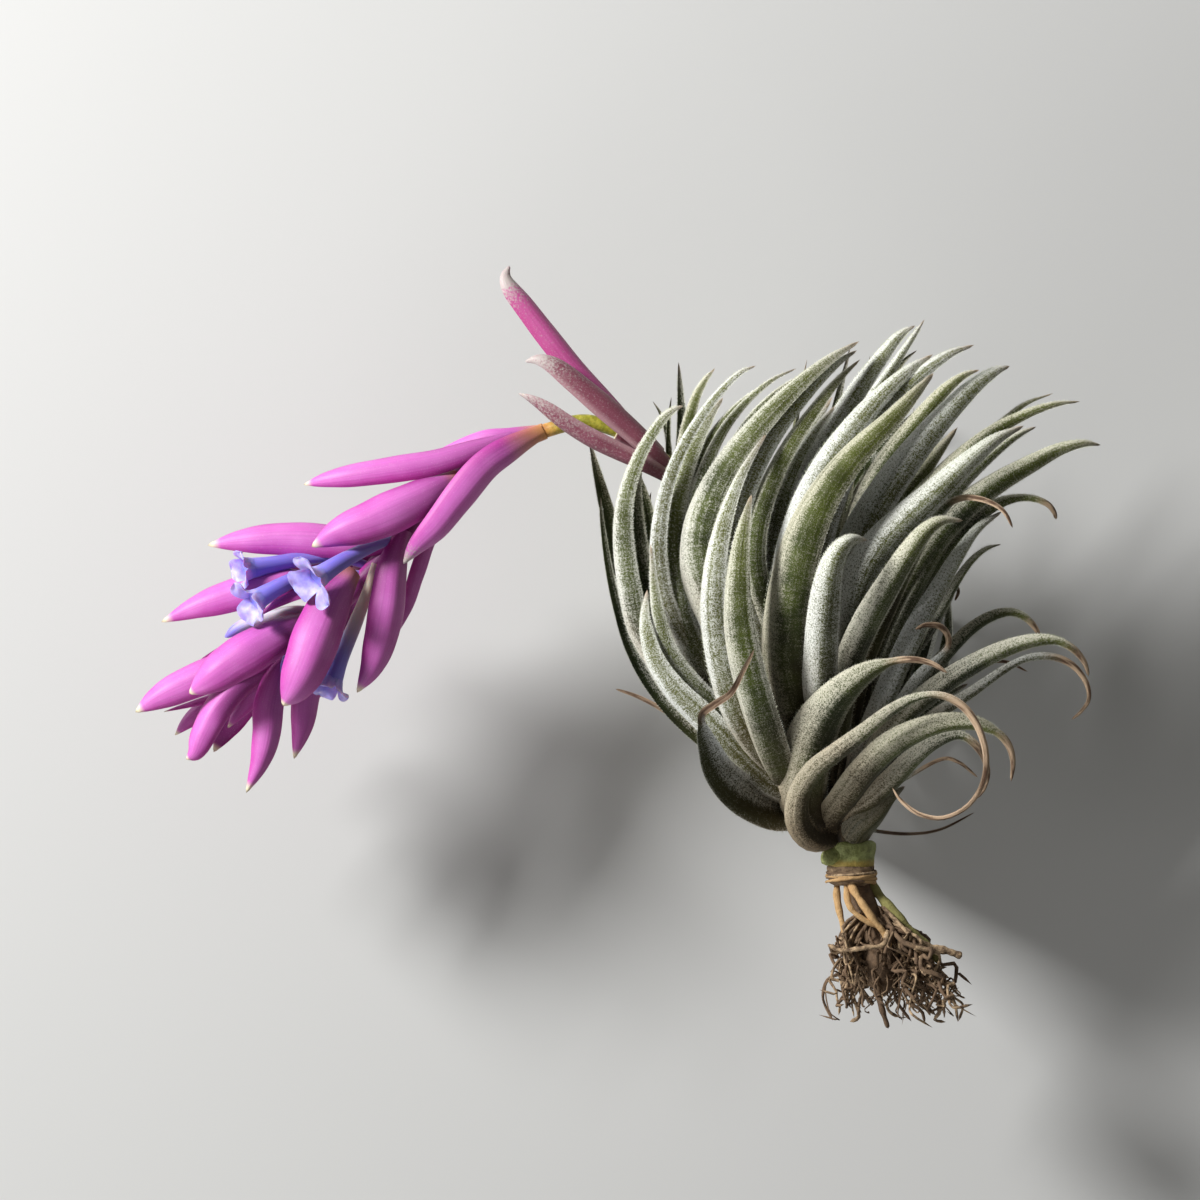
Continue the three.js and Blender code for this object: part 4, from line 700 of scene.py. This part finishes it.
floral_bracts = [
  blade(5.8, (42, 43, 41), -19,38, -26,35.2, -33,33, -40,31.8, -47,30.8, -52.5,30, -56.5,29.2,
    opens=(0.1, -0.7, -1)),
  blade(3.6, (42, 41, 40), -13.6,39.4, -19,38.2, -24,37.6, -29,36, -33.5,34.6, tan=1,
    opens=(0.1, -1, -0.6)),
  blade(6.8, (43, 46, 46), -13.6,38.8, -19,36, -24,32.6, -28.6,27.2, -32.6,22, -36.2,18.2, -38.5,14.9,
    tan=1, frost=[[0, 0], [0.76, 0], [0.9, 0.5], [1, 1]], opens=(-0.5, 0.5, -1)),
  blade(5, (39, 36, 36), -29,28, -34,20.5, -36.7,13.5, -38.6,7, -41.5,0, opens=(-1, 0.2, -0.4)),
  blade(8.6, (42, 47, 48), -29,30.6, -34,27.4, -39.5,24.6, -45,22.2, -50.5,20.3, -54.9,18, tan=0.8,
    opens=(0, -0.5, -1)),
  blade(7.4, (40, 38, 38), -41,18, -47,18.4, -54,19, -61,19.3, -68,19, -73.9,18.3, opens=(0, -0.7, -1)),
  blade(7.2, (42, 43, 42), -38.5,21, -40.6,14.5, -41.5,8, -42.6,2, -44.3,-3.6, -46.9,-8.2,
    opens=(-0.5, 0, -1)),
  blade(9.2, (42, 49, 49), -48,13.5, -51.4,8, -53.8,2.4, -55.8,-3, -58,-7.6, -60,-10.5, tan=0.7,
    opens=(-0.25, 0, -1)),
  blade(7.4, (40, 41, 41), -52,10, -58,11.2, -64,10.6, -70,8.9, -76,7, -82.1,4.5, opens=(0, -0.7, -1)),
  blade(8.8, (41, 48, 48), -55.5,5, -60.5,2.2, -65.5,-0.7, -70,-3.5, -73.8,-6.2, -76.8,-8.3,
    opens=(0, -0.6, -1)),
  blade(7.4, (39, 41, 42), -60,-1, -66,-2.6, -72,-4.6, -78,-7, -83,-9.4, -86.7,-11.7,
    opens=(0.1, -0.6, -1)),
  blade(2.6, (38, 39, 39), -63,-5, -69,-7.9, -75,-10, -81.8,-11.7, opens=(0, -1, -0.4)),
  blade(4.4, (38, 37, 37), -62,-4, -68,-7.6, -73,-10.4, -77,-13.2, -79.8,-15.9, opens=(0.6, -0.2, -0.8)),
  blade(5.6, (39, 41, 41), -61,-3, -67.5,-6.4, -71.6,-10.6, -74.2,-15.2, -75.8,-18.7, -77.6,-20.2,
    opens=(0.5, 0.2, -1)),
  blade(4, (39, 37, 37), -59,-2, -63.8,-6.4, -67.2,-10.4, -70.3,-14.6, opens=(0.5, 0, -1)),
  blade(5.8, (39, 41, 42), -58,0, -61.2,-5, -62.8,-10.4, -63.2,-15.6, -64.4,-20.8, -66.8,-26.2,
    opens=(-0.3, 0, -1)),
  blade(5.6, (38, 35, 35), -52,5, -54.8,-1.5, -56.2,-8, -57,-14.4, -58.4,-20.2, opens=(-0.3, 0, -1)),
  blade(3.6, (40, 44, 44), -50,9.5, -56,9.2, -60.6,7.6, -64.6,5.4, opens=(0.2, -1, -0.2)),
  # The far side of the head
  blade(7.2, (41, 35, 34), -27,31, -33,27, -38.5,22.4, -43.5,18, -48,13.6, opens=(0, 0, 1)),
  blade(7, (39, 32, 31), -37,22, -44,18.6, -51,15.6, -58,13, -64,11, opens=(0, 0.3, 1)),
  blade(7, (38, 31, 30), -45,13, -48.6,7, -51.4,1, -53.6,-5, -55.4,-10.6, opens=(0.2, 0, 1)),
  blade(6.6, (38, 32, 31), -54,4, -60,1.6, -66,-0.8, -72,-2.6, -77,-3.8, opens=(0, 0.2, 1)),
  blade(6, (38, 33, 32), -60,-1, -64,-5.4, -67.6,-10, -70.6,-14.6, -73,-19, opens=(0.3, 0.2, 1)),
]


def bract_material(name, pale, strong, deep, deep_margin, frost):
    """Waxy pink, darker at the base as partly painted shade, darker inside as painted shade, with fine veins
    and dots of silver scales.
    """
    skin = Finish(name, 0.52, Coat_Weight=0.05, Coat_Roughness=0.4, Subsurface_Weight=0.12,
                  Subsurface_Scale=0.0015, Subsurface_Radius=(1.0, 0.4, 0.7))
    tan, _, share, frosted = skin.skin_values()
    back, _, margin, inner = skin.sides(0.6)
    keel = skin.fade(back, 0.6, 1)
    cloud, veins = skin.grain(6, 2), skin.lengthwise(60, 2)
    dots, scurf = skin.grain(0.22, 2, 0.6), skin.grain(0.4, 3, 0.6)
    colour = skin.mix((cloud, 0.25, 0.75, 0.2, 0.8), strong, pale)
    # Darker towards the base, partly painted shade
    colour = skin.mix((share, 0.55, 0, 0, 0.9), colour, deep)
    colour = skin.mix(skin.times(keel, 0.4), colour, pale)
    colour = skin.mix((veins, 0.4, 0.7, 0, 0.12), colour, deep)
    # Painted shade: darker inside the fold
    colour = skin.mix(skin.times(inner, 0.7), colour, deep)
    # Margins take the margin colour, which on the pink bracts is a deep magenta painted as shade
    colour = skin.mix(skin.times(margin, 0.55), colour, deep_margin)
    colour = skin.mix(tan, colour, skin.mix(cloud, (182, 116, 62), (212, 156, 98)))

    # A cream tip with a brown point, silver dots all over, and ashen scurf on the frosted ones
    tip = skin.fade(skin.plus(share, (cloud, 0.05)), 0.94, 1.01)
    colour = skin.mix(tip, colour, (232, 222, 186))
    colour = skin.mix((share, 0.97, 1, 0, 0.7), colour, (128, 92, 62))
    colour = skin.mix((dots, 0.6, 0.7, 0, frost), colour, (236, 206, 232))
    ashen = skin.fade(skin.plus(frosted, (skin.centred(scurf), 1.6)), 0.2, 0.9)
    skin.paint(skin.mix(ashen, colour, (184, 172, 168)))
    skin.bumped(skin.plus(skin.times(veins, 0.6), (dots, 0.2), (skin.times(scurf, ashen), 0.8)), 0.12, 0.6)
    return skin.material


# The pink bracts' margin colour, deep magenta, is painted shade
pink_bract = bract_material("pink_bract", (214, 118, 200), (188, 66, 166), (116, 16, 96),
                            (178, 24, 144), 0.16)
head = new_skin()
for bract in floral_bracts:
    add_bract(head, bract)
finished(head, "floral_bracts", pink_bract, ["flower_head"])

rachis = new_skin()
rachis_line = in_metres((-13.2, 38.8, 42.6), (-19, 36.4, 42), (-27, 31.6, 41), (-36, 23.5, 40),
                        (-44, 14, 39), (-53, 5, 38), (-62, -3, 38))
RACHIS_GIRTH = [[0, 1.5], [0.5, 1.9], [0.9, 1.6], [1, 0.3]]
tube(rachis, rachis_line, lambda share: along(RACHIS_GIRTH, share), 20, 60,
     lambda share, turn: (max(0, 1 - share / 0.12), 0.5, 0.3, 0))
finished(rachis, "head_axis", pink_bract, [])

# Scape bracts. Three long narrow bracts, dull mauve and frosted with silver scales, the longest one pinker
# with a grey tip. They share a sheath round the scape where it leaves the tuft.

scape_bracts = [
  blade(5, (43, 41, 40), 6,35.4, 1.5,40, -3.4,45, -8.4,50.3, -13,56, -16.8,61, -19.4,64.4, -20.2,66.6,
    -19.5,68.6, frost=[[0, 0.1], [0.6, 0.15], [0.74, 0.6], [0.8, 1], [1, 1]], opens=(-0.5, -0.5, -1)),
  blade(5, (43, 46, 46), 13,28.6, 8,33.2, 4,37.2, 0,40.8, -4,44.2, -8,47.6, -11.6,50.4, -14.4,51.5,
    -16.7,51.2, frost=[[0, 0.05], [0.5, 0.15], [0.72, 0.4], [0.86, 0.9], [1, 1.1]], opens=(-0.2, -0.6, -1)),
  blade(4.2, (43, 46, 46), 12.6,27.6, 8.6,30.8, 4,33.4, -0.6,35.6, -5,37.8, -9,40.2, -12.6,42.8, -15.4,44.5,
    -17.9,45.5, frost=[[0, 0.1], [0.5, 0.25], [0.8, 0.5], [1, 0.8]], opens=(0.2, 0.7, -0.8)),
]

mauve_bract = bract_material("mauve_bract", (138, 74, 92), (110, 48, 64), (80, 26, 38),
                             (186, 150, 154), 0.2)
rose_bract = bract_material("rose_bract", (196, 88, 152), (170, 56, 124), (110, 34, 66),
                            (168, 50, 120), 0.2)
for index, bract in enumerate(scape_bracts):
    skin = new_skin()
    add_bract(skin, bract, 22, 56)
    finished(skin, "scape_bract_%d" % (index + 1), mauve_bract if index else rose_bract,
             ["scape_bracts"] if index == 0 else [])
sheath = new_skin()
sheath_line = [on_line(scape_line, share) for share in (0.52, 0.57, 0.62, 0.67)]
SHEATH_GIRTH = [[0, 1.8], [0.2, 2.3], [0.8, 2.3], [1, 1.9]]
tube(sheath, sheath_line, lambda share: along(SHEATH_GIRTH, share), 24, 20)
finished(sheath, "scape_sheath", mauve_bract, [])

# Flowers. Each is a soft violet tube of three fused petals, which flare at the mouth into pale lilac lobes.
# They come out between the bracts, and two buds are still shut.

TUBE_GIRTH = [[0, 0.7], [0.45, 1.25], [0.8, 1.6], [1, 2]]
BUD_GIRTH = [[0, 0.7], [0.4, 1], [0.8, 1.15], [0.93, 0.8], [1, 0.1]]
LOBE_BASE = [[0, 3.9], [0.4, 3.5], [0.7, 1.6], [1, 0]]
LOBE_BLADE = [[0, 0], [0.4, 1.4], [0.7, 4.4], [0.88, 4], [1, 0.3]]
LOBE_CUP = [[0, 1.05], [0.5, 0.7], [1, 0.15]]
TUBE_WALL = 0.25
MOUTH_AT = 0.72
THROAT_DEPTH, THROAT_NARROWS = 0.35, 0.9
MOUTH_SHADE = 0.42

flowers = [
  dict(name="flower_front", heights=(41.5, 47, 52), line=[[-40, 19.6], [-44.5, 17.9], [-49.4, 15.4],
    [-54, 12.3]], spread=1.1, turn=20),
  dict(name="flower_left", heights=(39, 44, 49), line=[[-46.5, 13], [-52, 13.8], [-57, 12.6], [-61.2, 10.6],
    [-65.2, 8.2]], spread=0.8, turn=60),
  dict(name="flower_behind", heights=(38, 40, 44), line=[[-44.6, 14.6], [-51, 16.2], [-57, 15.8],
    [-62.2, 14.8], [-67, 14]], spread=0.5, turn=30),
  dict(name="flower_right", heights=(41, 42, 45), line=[[-43.6, 15], [-45.2, 9.6], [-47.3, 4],
    [-49.8, -1.8], [-51.6, -7]], spread=0.55, turn=10),
  dict(name="bud_left", heights=(39, 41.5, 42), line=[[-52.5, 6], [-57.5, 6.6], [-62.4, 5.6], [-67.2, 4],
    [-70.7, 1.7]], bud=True),
  dict(name="bud_middle", heights=(39, 42, 43), line=[[-54.8, 3], [-57, 1.4], [-58.6, -0.6], [-59.5, -3.2],
    [-59.8, -6]], bud=True),
]


def add_lobe(bm, mouth, forward, outward, spread):
    """A lobe grows out of the tube's wall, a third of the way round it, and bends outwards."""
    reach = ((-1.4, 1.7), (0.3, 2.15), (0.3 + 1.2 * spread, 2.15 + 1.3 * spread),
             (0.3 + 1.4 * spread, 2.15 + 3.2 * spread))
    points = [mouth + (forward * ahead + outward * out) * MM for ahead, out in reach]
    ripple = rng.uniform(0, FULL_TURN)

    def section(share, turn):
        half = (smoothly(LOBE_BASE, share) + spread * smoothly(LOBE_BLADE, share)) * MM / 2
        c, s = math.cos(turn), math.sin(turn)
        ruffle = 0.25 * share * math.sin(5 * c + 7 * share + ripple)
        cup = smoothly(LOBE_CUP, share) * c * c
        return half * c, (ruffle + cup - (0.22 if s >= 0 else -0.06) * abs(s) ** 0.7) * MM

    sweep(bm, points, section, forward, 24, 16, lambda share, turn: (0, 0.5, 1 + share, 0))


def petal_material(name, base, ends=(0.1, 0.4)):
    """Violet over a paler base that ends between two shares of the length, and lilac on the lobes."""
    skin = Finish(name, 0.5, Sheen_Weight=0.3, Sheen_Roughness=0.4, Subsurface_Weight=0.3,
                  Subsurface_Scale=0.0012)
    share = skin.skin_values()[2]
    cloud, veins = skin.grain(1.6, 3), skin.lengthwise(26, 2)
    violet = skin.mix((veins, 0.3, 0.72), (84, 62, 180), (112, 92, 208))
    colour = skin.mix((share, *ends), base, violet)
    colour = skin.mix((share, 0.2, 0.43, 0, 0.8), colour, (146, 138, 236))
    lilac = skin.mix((cloud, 0.3, 0.7), (158, 148, 234), (192, 186, 246))
    lilac = skin.mix((share, 1.3, 0.95, 0, 0.7), lilac, (126, 112, 220))
    skin.paint(skin.mix((share, 0.44, 0.9), colour, lilac))
    skin.bumped(veins, 0.1, 0.5)
    return skin.material


violet_petal = petal_material("violet_petal", (140, 124, 204))
cream_petal = petal_material("cream_petal", (226, 212, 190))
white_petal = petal_material("white_petal", (232, 226, 234), (0.3, 0.4))
petals = {"flower_right": cream_petal, "bud_left": white_petal}
for flower in flowers:
    points = rising(flower["line"], flower["heights"])
    skin = new_skin()
    if "bud" in flower:
        tube(skin, points, lambda share: smoothly(BUD_GIRTH, share), 20, 30,
             lambda share, turn: (0, 0.5, MOUTH_SHADE * share, 0))
    else:
        # The tube is open at its mouth: its line turns back inside, down to the throat
        folds = 30

        def section(share, turn):
            out = min(1, share / MOUTH_AT)
            back = max(0, (share - MOUTH_AT) / (1 - MOUTH_AT))
            radius = along(TUBE_GIRTH, out) * (1 + 0.05 * math.sin(3 * turn) * out)
            return ring_place(radius - (TUBE_WALL + THROAT_NARROWS * back if back else 0), turn)

        path = [on_line(points, min(1, step / MOUTH_AT / folds)
                        - max(0, (step / folds - MOUTH_AT) / (1 - MOUTH_AT)) * THROAT_DEPTH)
                for step in range(folds + 1)]
        sweep(skin, path, section, TUBE_SEAM, 24, folds,
              lambda share, turn: (0, 0.5, MOUTH_SHADE * min(1, share / MOUTH_AT), 0))
        mouth, forward = points[-1], heading(points, 1)
        sideways = Vector((0, 0, 1)).cross(forward).normalized()
        for step in (0, 120, 240):
            outward = Matrix.Rotation(math.radians(flower["turn"] + step), 3, forward) @ sideways
            add_lobe(skin, mouth, forward, outward, flower["spread"])
    name = flower["name"]
    finished(skin, name + "_petals", petals.get(name, violet_petal), [name])

# Stem. A short woody green stub below the leaves, ringed by the scars of old leaves, with one side bud. It
# is the foot of the stem that carries the tuft and ends at the collar that the roots grow from.

stem_foot = Vector((41.9, -39.6, 38)) * MM


def turned(bm, profile, foot, around, rings):
    """A ringed round body along +Y, from its [radius, height] profile in millimetres."""
    top = profile[-1][1]
    line = [foot, foot + Vector((0, top * MM, 0))]
    corners = [[height / top, radius] for radius, height in profile]

    def section(share, turn):
        radius = smoothly(corners, share) if 0.05 < share < 0.95 else along(corners, share)
        radius += 0.07 * math.sin(5 * turn + 9 * share) + 0.05 * math.sin(11 * turn + 3)
        return ring_place(radius, turn)

    sweep(bm, line, section, (0, 0, 1), around, rings, lambda share, turn: (0, 0.5, share, 0))


class Bark(Finish):
    """Rough and matt, dark and light in coarse grains, with fine dark pits."""

    def __init__(self, name, dark, light, size_mm, roughness=0.85):
        super().__init__(name, roughness)
        self.kind, _, self.share, _ = self.skin_values()
        self.coarse, fine = self.grain(size_mm, 4, 0.65), self.grain(size_mm / 5, 3, 0.6)
        colour = self.mix((self.coarse, 0.34, 0.66), dark, light)
        self.colour = self.mix((fine, 0.5, 0.75, 0, 0.5), colour, dark)
        self.bumped(self.plus(self.coarse, (fine, 0.5)), 0.3, 0.9)


bark = Bark("stem_skin", (110, 114, 58), (170, 178, 112), 1.6, 0.6)
above_scar = (bark.plus(bark.share, (bark.coarse, 0.3)), 0.28, 0.5)
bark.paint(bark.mix(above_scar, (170, 148, 72), bark.colour))
stem = new_skin()
turned(stem, [[4.1, 0], [4.3, 0.5], [4.2, 2], [4.6, 3.5], [4.6, 4.4], [3.4, 5]], stem_foot, 48, 24)
bud_line = in_metres((41, -36.8, 39), (38.6, -37.4, 40.4), (36.6, -38.9, 40.8))
SIDE_BUD_GIRTH = [[0, 1.8], [0.7, 1.6], [0.9, 1], [1, 0.2]]
tube(stem, bud_line, lambda share: smoothly(SIDE_BUD_GIRTH, share), 20, 14)
finished(stem, "stem_stub", bark.material, ["stem"])

# Roots. Dry wiry roots, tan and brown, grow from a ringed papery collar under the stem: a few thick ones,
# and a tangle of fine ones whose end is torn off.

WIRY, FLESHY, LIVING = 0, 1, 2
THINNEST_ROOT = 0.03
# Each root's radius, its kind and its points, with their heights from the middle of the plant
thick_roots = [
  (0.8, FLESHY, [[41.5, -40.8, 1], [42.2, -43.4, 3.4], [43.8, -46, 4.6], [45.9, -49, 5], [47.8, -51.4, 4.6],
    [49, -54, 4]]),
  (0.6, FLESHY, [[41, -41, 1], [41.2, -45.4, 4.2], [42.4, -47.6, 5], [44.6, -49.2, 5], [47, -50.6, 4.4],
    [48.6, -53.4, 3]]),
  (1.05, LIVING, [[44, -40.8, -1], [46.8, -44.4, 0], [49.6, -47.7, 1], [52.6, -51, 1], [55.4, -53.6, 0],
    [58, -57, 0]]),
  (0.5, WIRY, [[48.4, -51, 4.6], [47.5, -53.4, 6.4], [43.6, -54, 7], [40, -54.4, 6], [37.6, -53.4, 5]]),
  (0.9, WIRY, [[52, -52.6, 0], [56, -54, 2], [59, -54.6, 2.4], [61.9, -55.6, 2]]),
  (0.7, WIRY, [[45.6, -56, 1], [46.4, -60, 3], [47.2, -64.2, 3.4], [48.6, -68.6, 2]]),
  (0.7, FLESHY, [[39.6, -40.8, 0], [39.4, -45, 1], [40.4, -50, 2], [41.6, -55, 2.6], [41.4, -60, 3]]),
]


def add_root(bm, points, radius, around, rings, kind):
    """A knotty root that thins towards its blunt end."""
    line = [point + Vector((0, 0, AXIS_HEIGHT * MM)) for point in in_metres(*points)]
    ripple, tone = rng.uniform(0, FULL_TURN), rng.random()

    def radius_at(share):
        knot = 1 + 0.12 * math.sin(17 * share + ripple) + 0.08 * math.sin(39 * share + 2 * ripple)
        return max(THINNEST_ROOT, radius * (1 - 0.35 * share) * knot * min(1, 20 * (1.02 - share)))

    tube(bm, line, radius_at, around, rings, lambda share, turn: (kind, tone, share, 0))


def wiry_roots(count):
    """Fine roots that leave the foot of the collar and wander to the torn end."""
    roots = []
    for _ in range(count):
        x, depth = rng.uniform(40.5, 53), rng.uniform(-6.5, 6.5)
        lean = 0.9 * (x - 44) + rng.uniform(-2.5, 3.5)
        wave = rng.uniform(0.8, 2.2)
        line = [[46 + 0.3 * (x - 46), -49.5 + rng.uniform(-1.5, 3), depth * 0.3]]
        steps = rng.randint(8, 14)
        end = rng.uniform(-67.6, -58)
        for step in range(steps):
            t = step / (steps - 1)
            line.append([x + lean * t + rng.uniform(-wave, wave),
                         -52 + (end + 52) * t + rng.uniform(-1.8, 1.8),
                         depth * (0.75 + 0.35 * t) + rng.uniform(-wave, wave)])
        roots.append((rng.uniform(0.16, 0.5), line))
    return roots


bark = Bark("root_skin", (88, 68, 50), (196, 168, 132), 1.1)
dark = bark.mix(bark.coarse, (50, 38, 30), (140, 112, 84))
fleshy = bark.mix(bark.coarse, (150, 110, 68), (220, 184, 130))
living = bark.mix(bark.coarse, (110, 106, 56), (166, 160, 98))
colour = bark.mix((bark.tone, 0.3, 0.75), dark, bark.colour)
colour = bark.mix((bark.kind, 0.4, 0.6), colour, fleshy)
bark.paint(bark.mix((bark.kind, 1.4, 1.6), colour, living))

root_mass = new_skin()
turned(root_mass, [[3, 0], [4.1, 0.6], [3.9, 1.2], [4.5, 1.8], [4.2, 2.4], [4.3, 3.1], [4.2, 3.6]],
       stem_foot + Vector((0, -3.3, 0)) * MM, 48, 26)
for radius, kind, points in thick_roots:
    add_root(root_mass, points, radius, 12, 40, kind)
root_core = in_metres((42.4, -41, 38), (45, -48, 38), (47, -55, 38), (48, -63, 38))
CORE_GIRTH = [[0, 2.2], [0.4, 2.2], [0.7, 3.4], [0.9, 2.8], [1, 0.3]]
tube(root_mass, root_core, lambda share: along(CORE_GIRTH, share), 20, 30,
     lambda share, turn: (WIRY, 0.1, share, 0))
for radius, points in wiry_roots(120):
    add_root(root_mass, points, radius, 7, 30, WIRY)
# Strands wound round the collar
for wrap in range(7):
    low, high, out = rng.uniform(-42.6, -40), rng.uniform(-42.6, -40), rng.uniform(4.3, 4.7)
    points = []
    for step in range(8):
        turn = 0.5 * step - 0.3
        points.append([41.9 + out * math.cos(turn), low + (high - low) * step / 7, out * math.sin(turn)])
    add_root(root_mass, points, rng.uniform(0.25, 0.45), 7, 30, FLESHY if wrap % 3 == 0 else WIRY)
finished(root_mass, "root_tangle", bark.material, ["roots"])

# Table, lights and camera. A plain pale table, one small soft lamp at the upper left, a weak wide one below
# it, and a camera straight above the plant.

floor_skin = Finish("pale_floor", 0.9, Base_Color=linear(205, 205, 203))
table = bmesh.new()
bmesh.ops.create_grid(table, x_segments=1, y_segments=1, size=3)
floor_mesh = bpy.data.meshes.new("floor")
table.to_mesh(floor_mesh)
table.free()
floor_mesh.materials.append(floor_skin.material)
floor = placed("floor", floor_mesh)
floor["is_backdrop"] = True


def softbox(name, place, size, power):
    """A square lamp that faces the plant. Its place and size are in metres, its power in watts."""
    data = bpy.data.lights.new(name, "AREA")
    data.size, data.energy = size, power
    lamp = placed(name, data)
    lamp.location = place
    lamp.rotation_euler = (Vector((0, 0, 0.03)) - Vector(place)).to_track_quat("-Z", "Y").to_euler()


softbox("key", (-0.6, 0.44, 0.5), 0.22, 12)
softbox("fill", (-0.6, -0.7, 0.4), 0.5, 2.6)
world = bpy.data.worlds.new("studio")
world.use_nodes = True
sky = world.node_tree.nodes["Background"]
sky.inputs["Color"].default_value = (1, 0.99, 0.96, 1)
sky.inputs["Strength"].default_value = 0.14
bpy.context.scene.world = world
bpy.context.scene.view_settings.view_transform = "Standard"

CAMERA_HEIGHT = 2.0
FRAME_WIDTH = 0.216
FRAME_MIDDLE = (-3.24, 8.46)
SENSOR_WIDTH = 36
camera_data = bpy.data.cameras.new("camera")
camera_data.sensor_width = SENSOR_WIDTH
camera_data.lens = SENSOR_WIDTH * (CAMERA_HEIGHT - AXIS_HEIGHT * MM) / FRAME_WIDTH
camera_data.clip_end = 20
camera = placed("camera", camera_data)
camera.location = (FRAME_MIDDLE[0] * MM, FRAME_MIDDLE[1] * MM, CAMERA_HEIGHT)
bpy.context.scene.camera = camera

low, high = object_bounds()
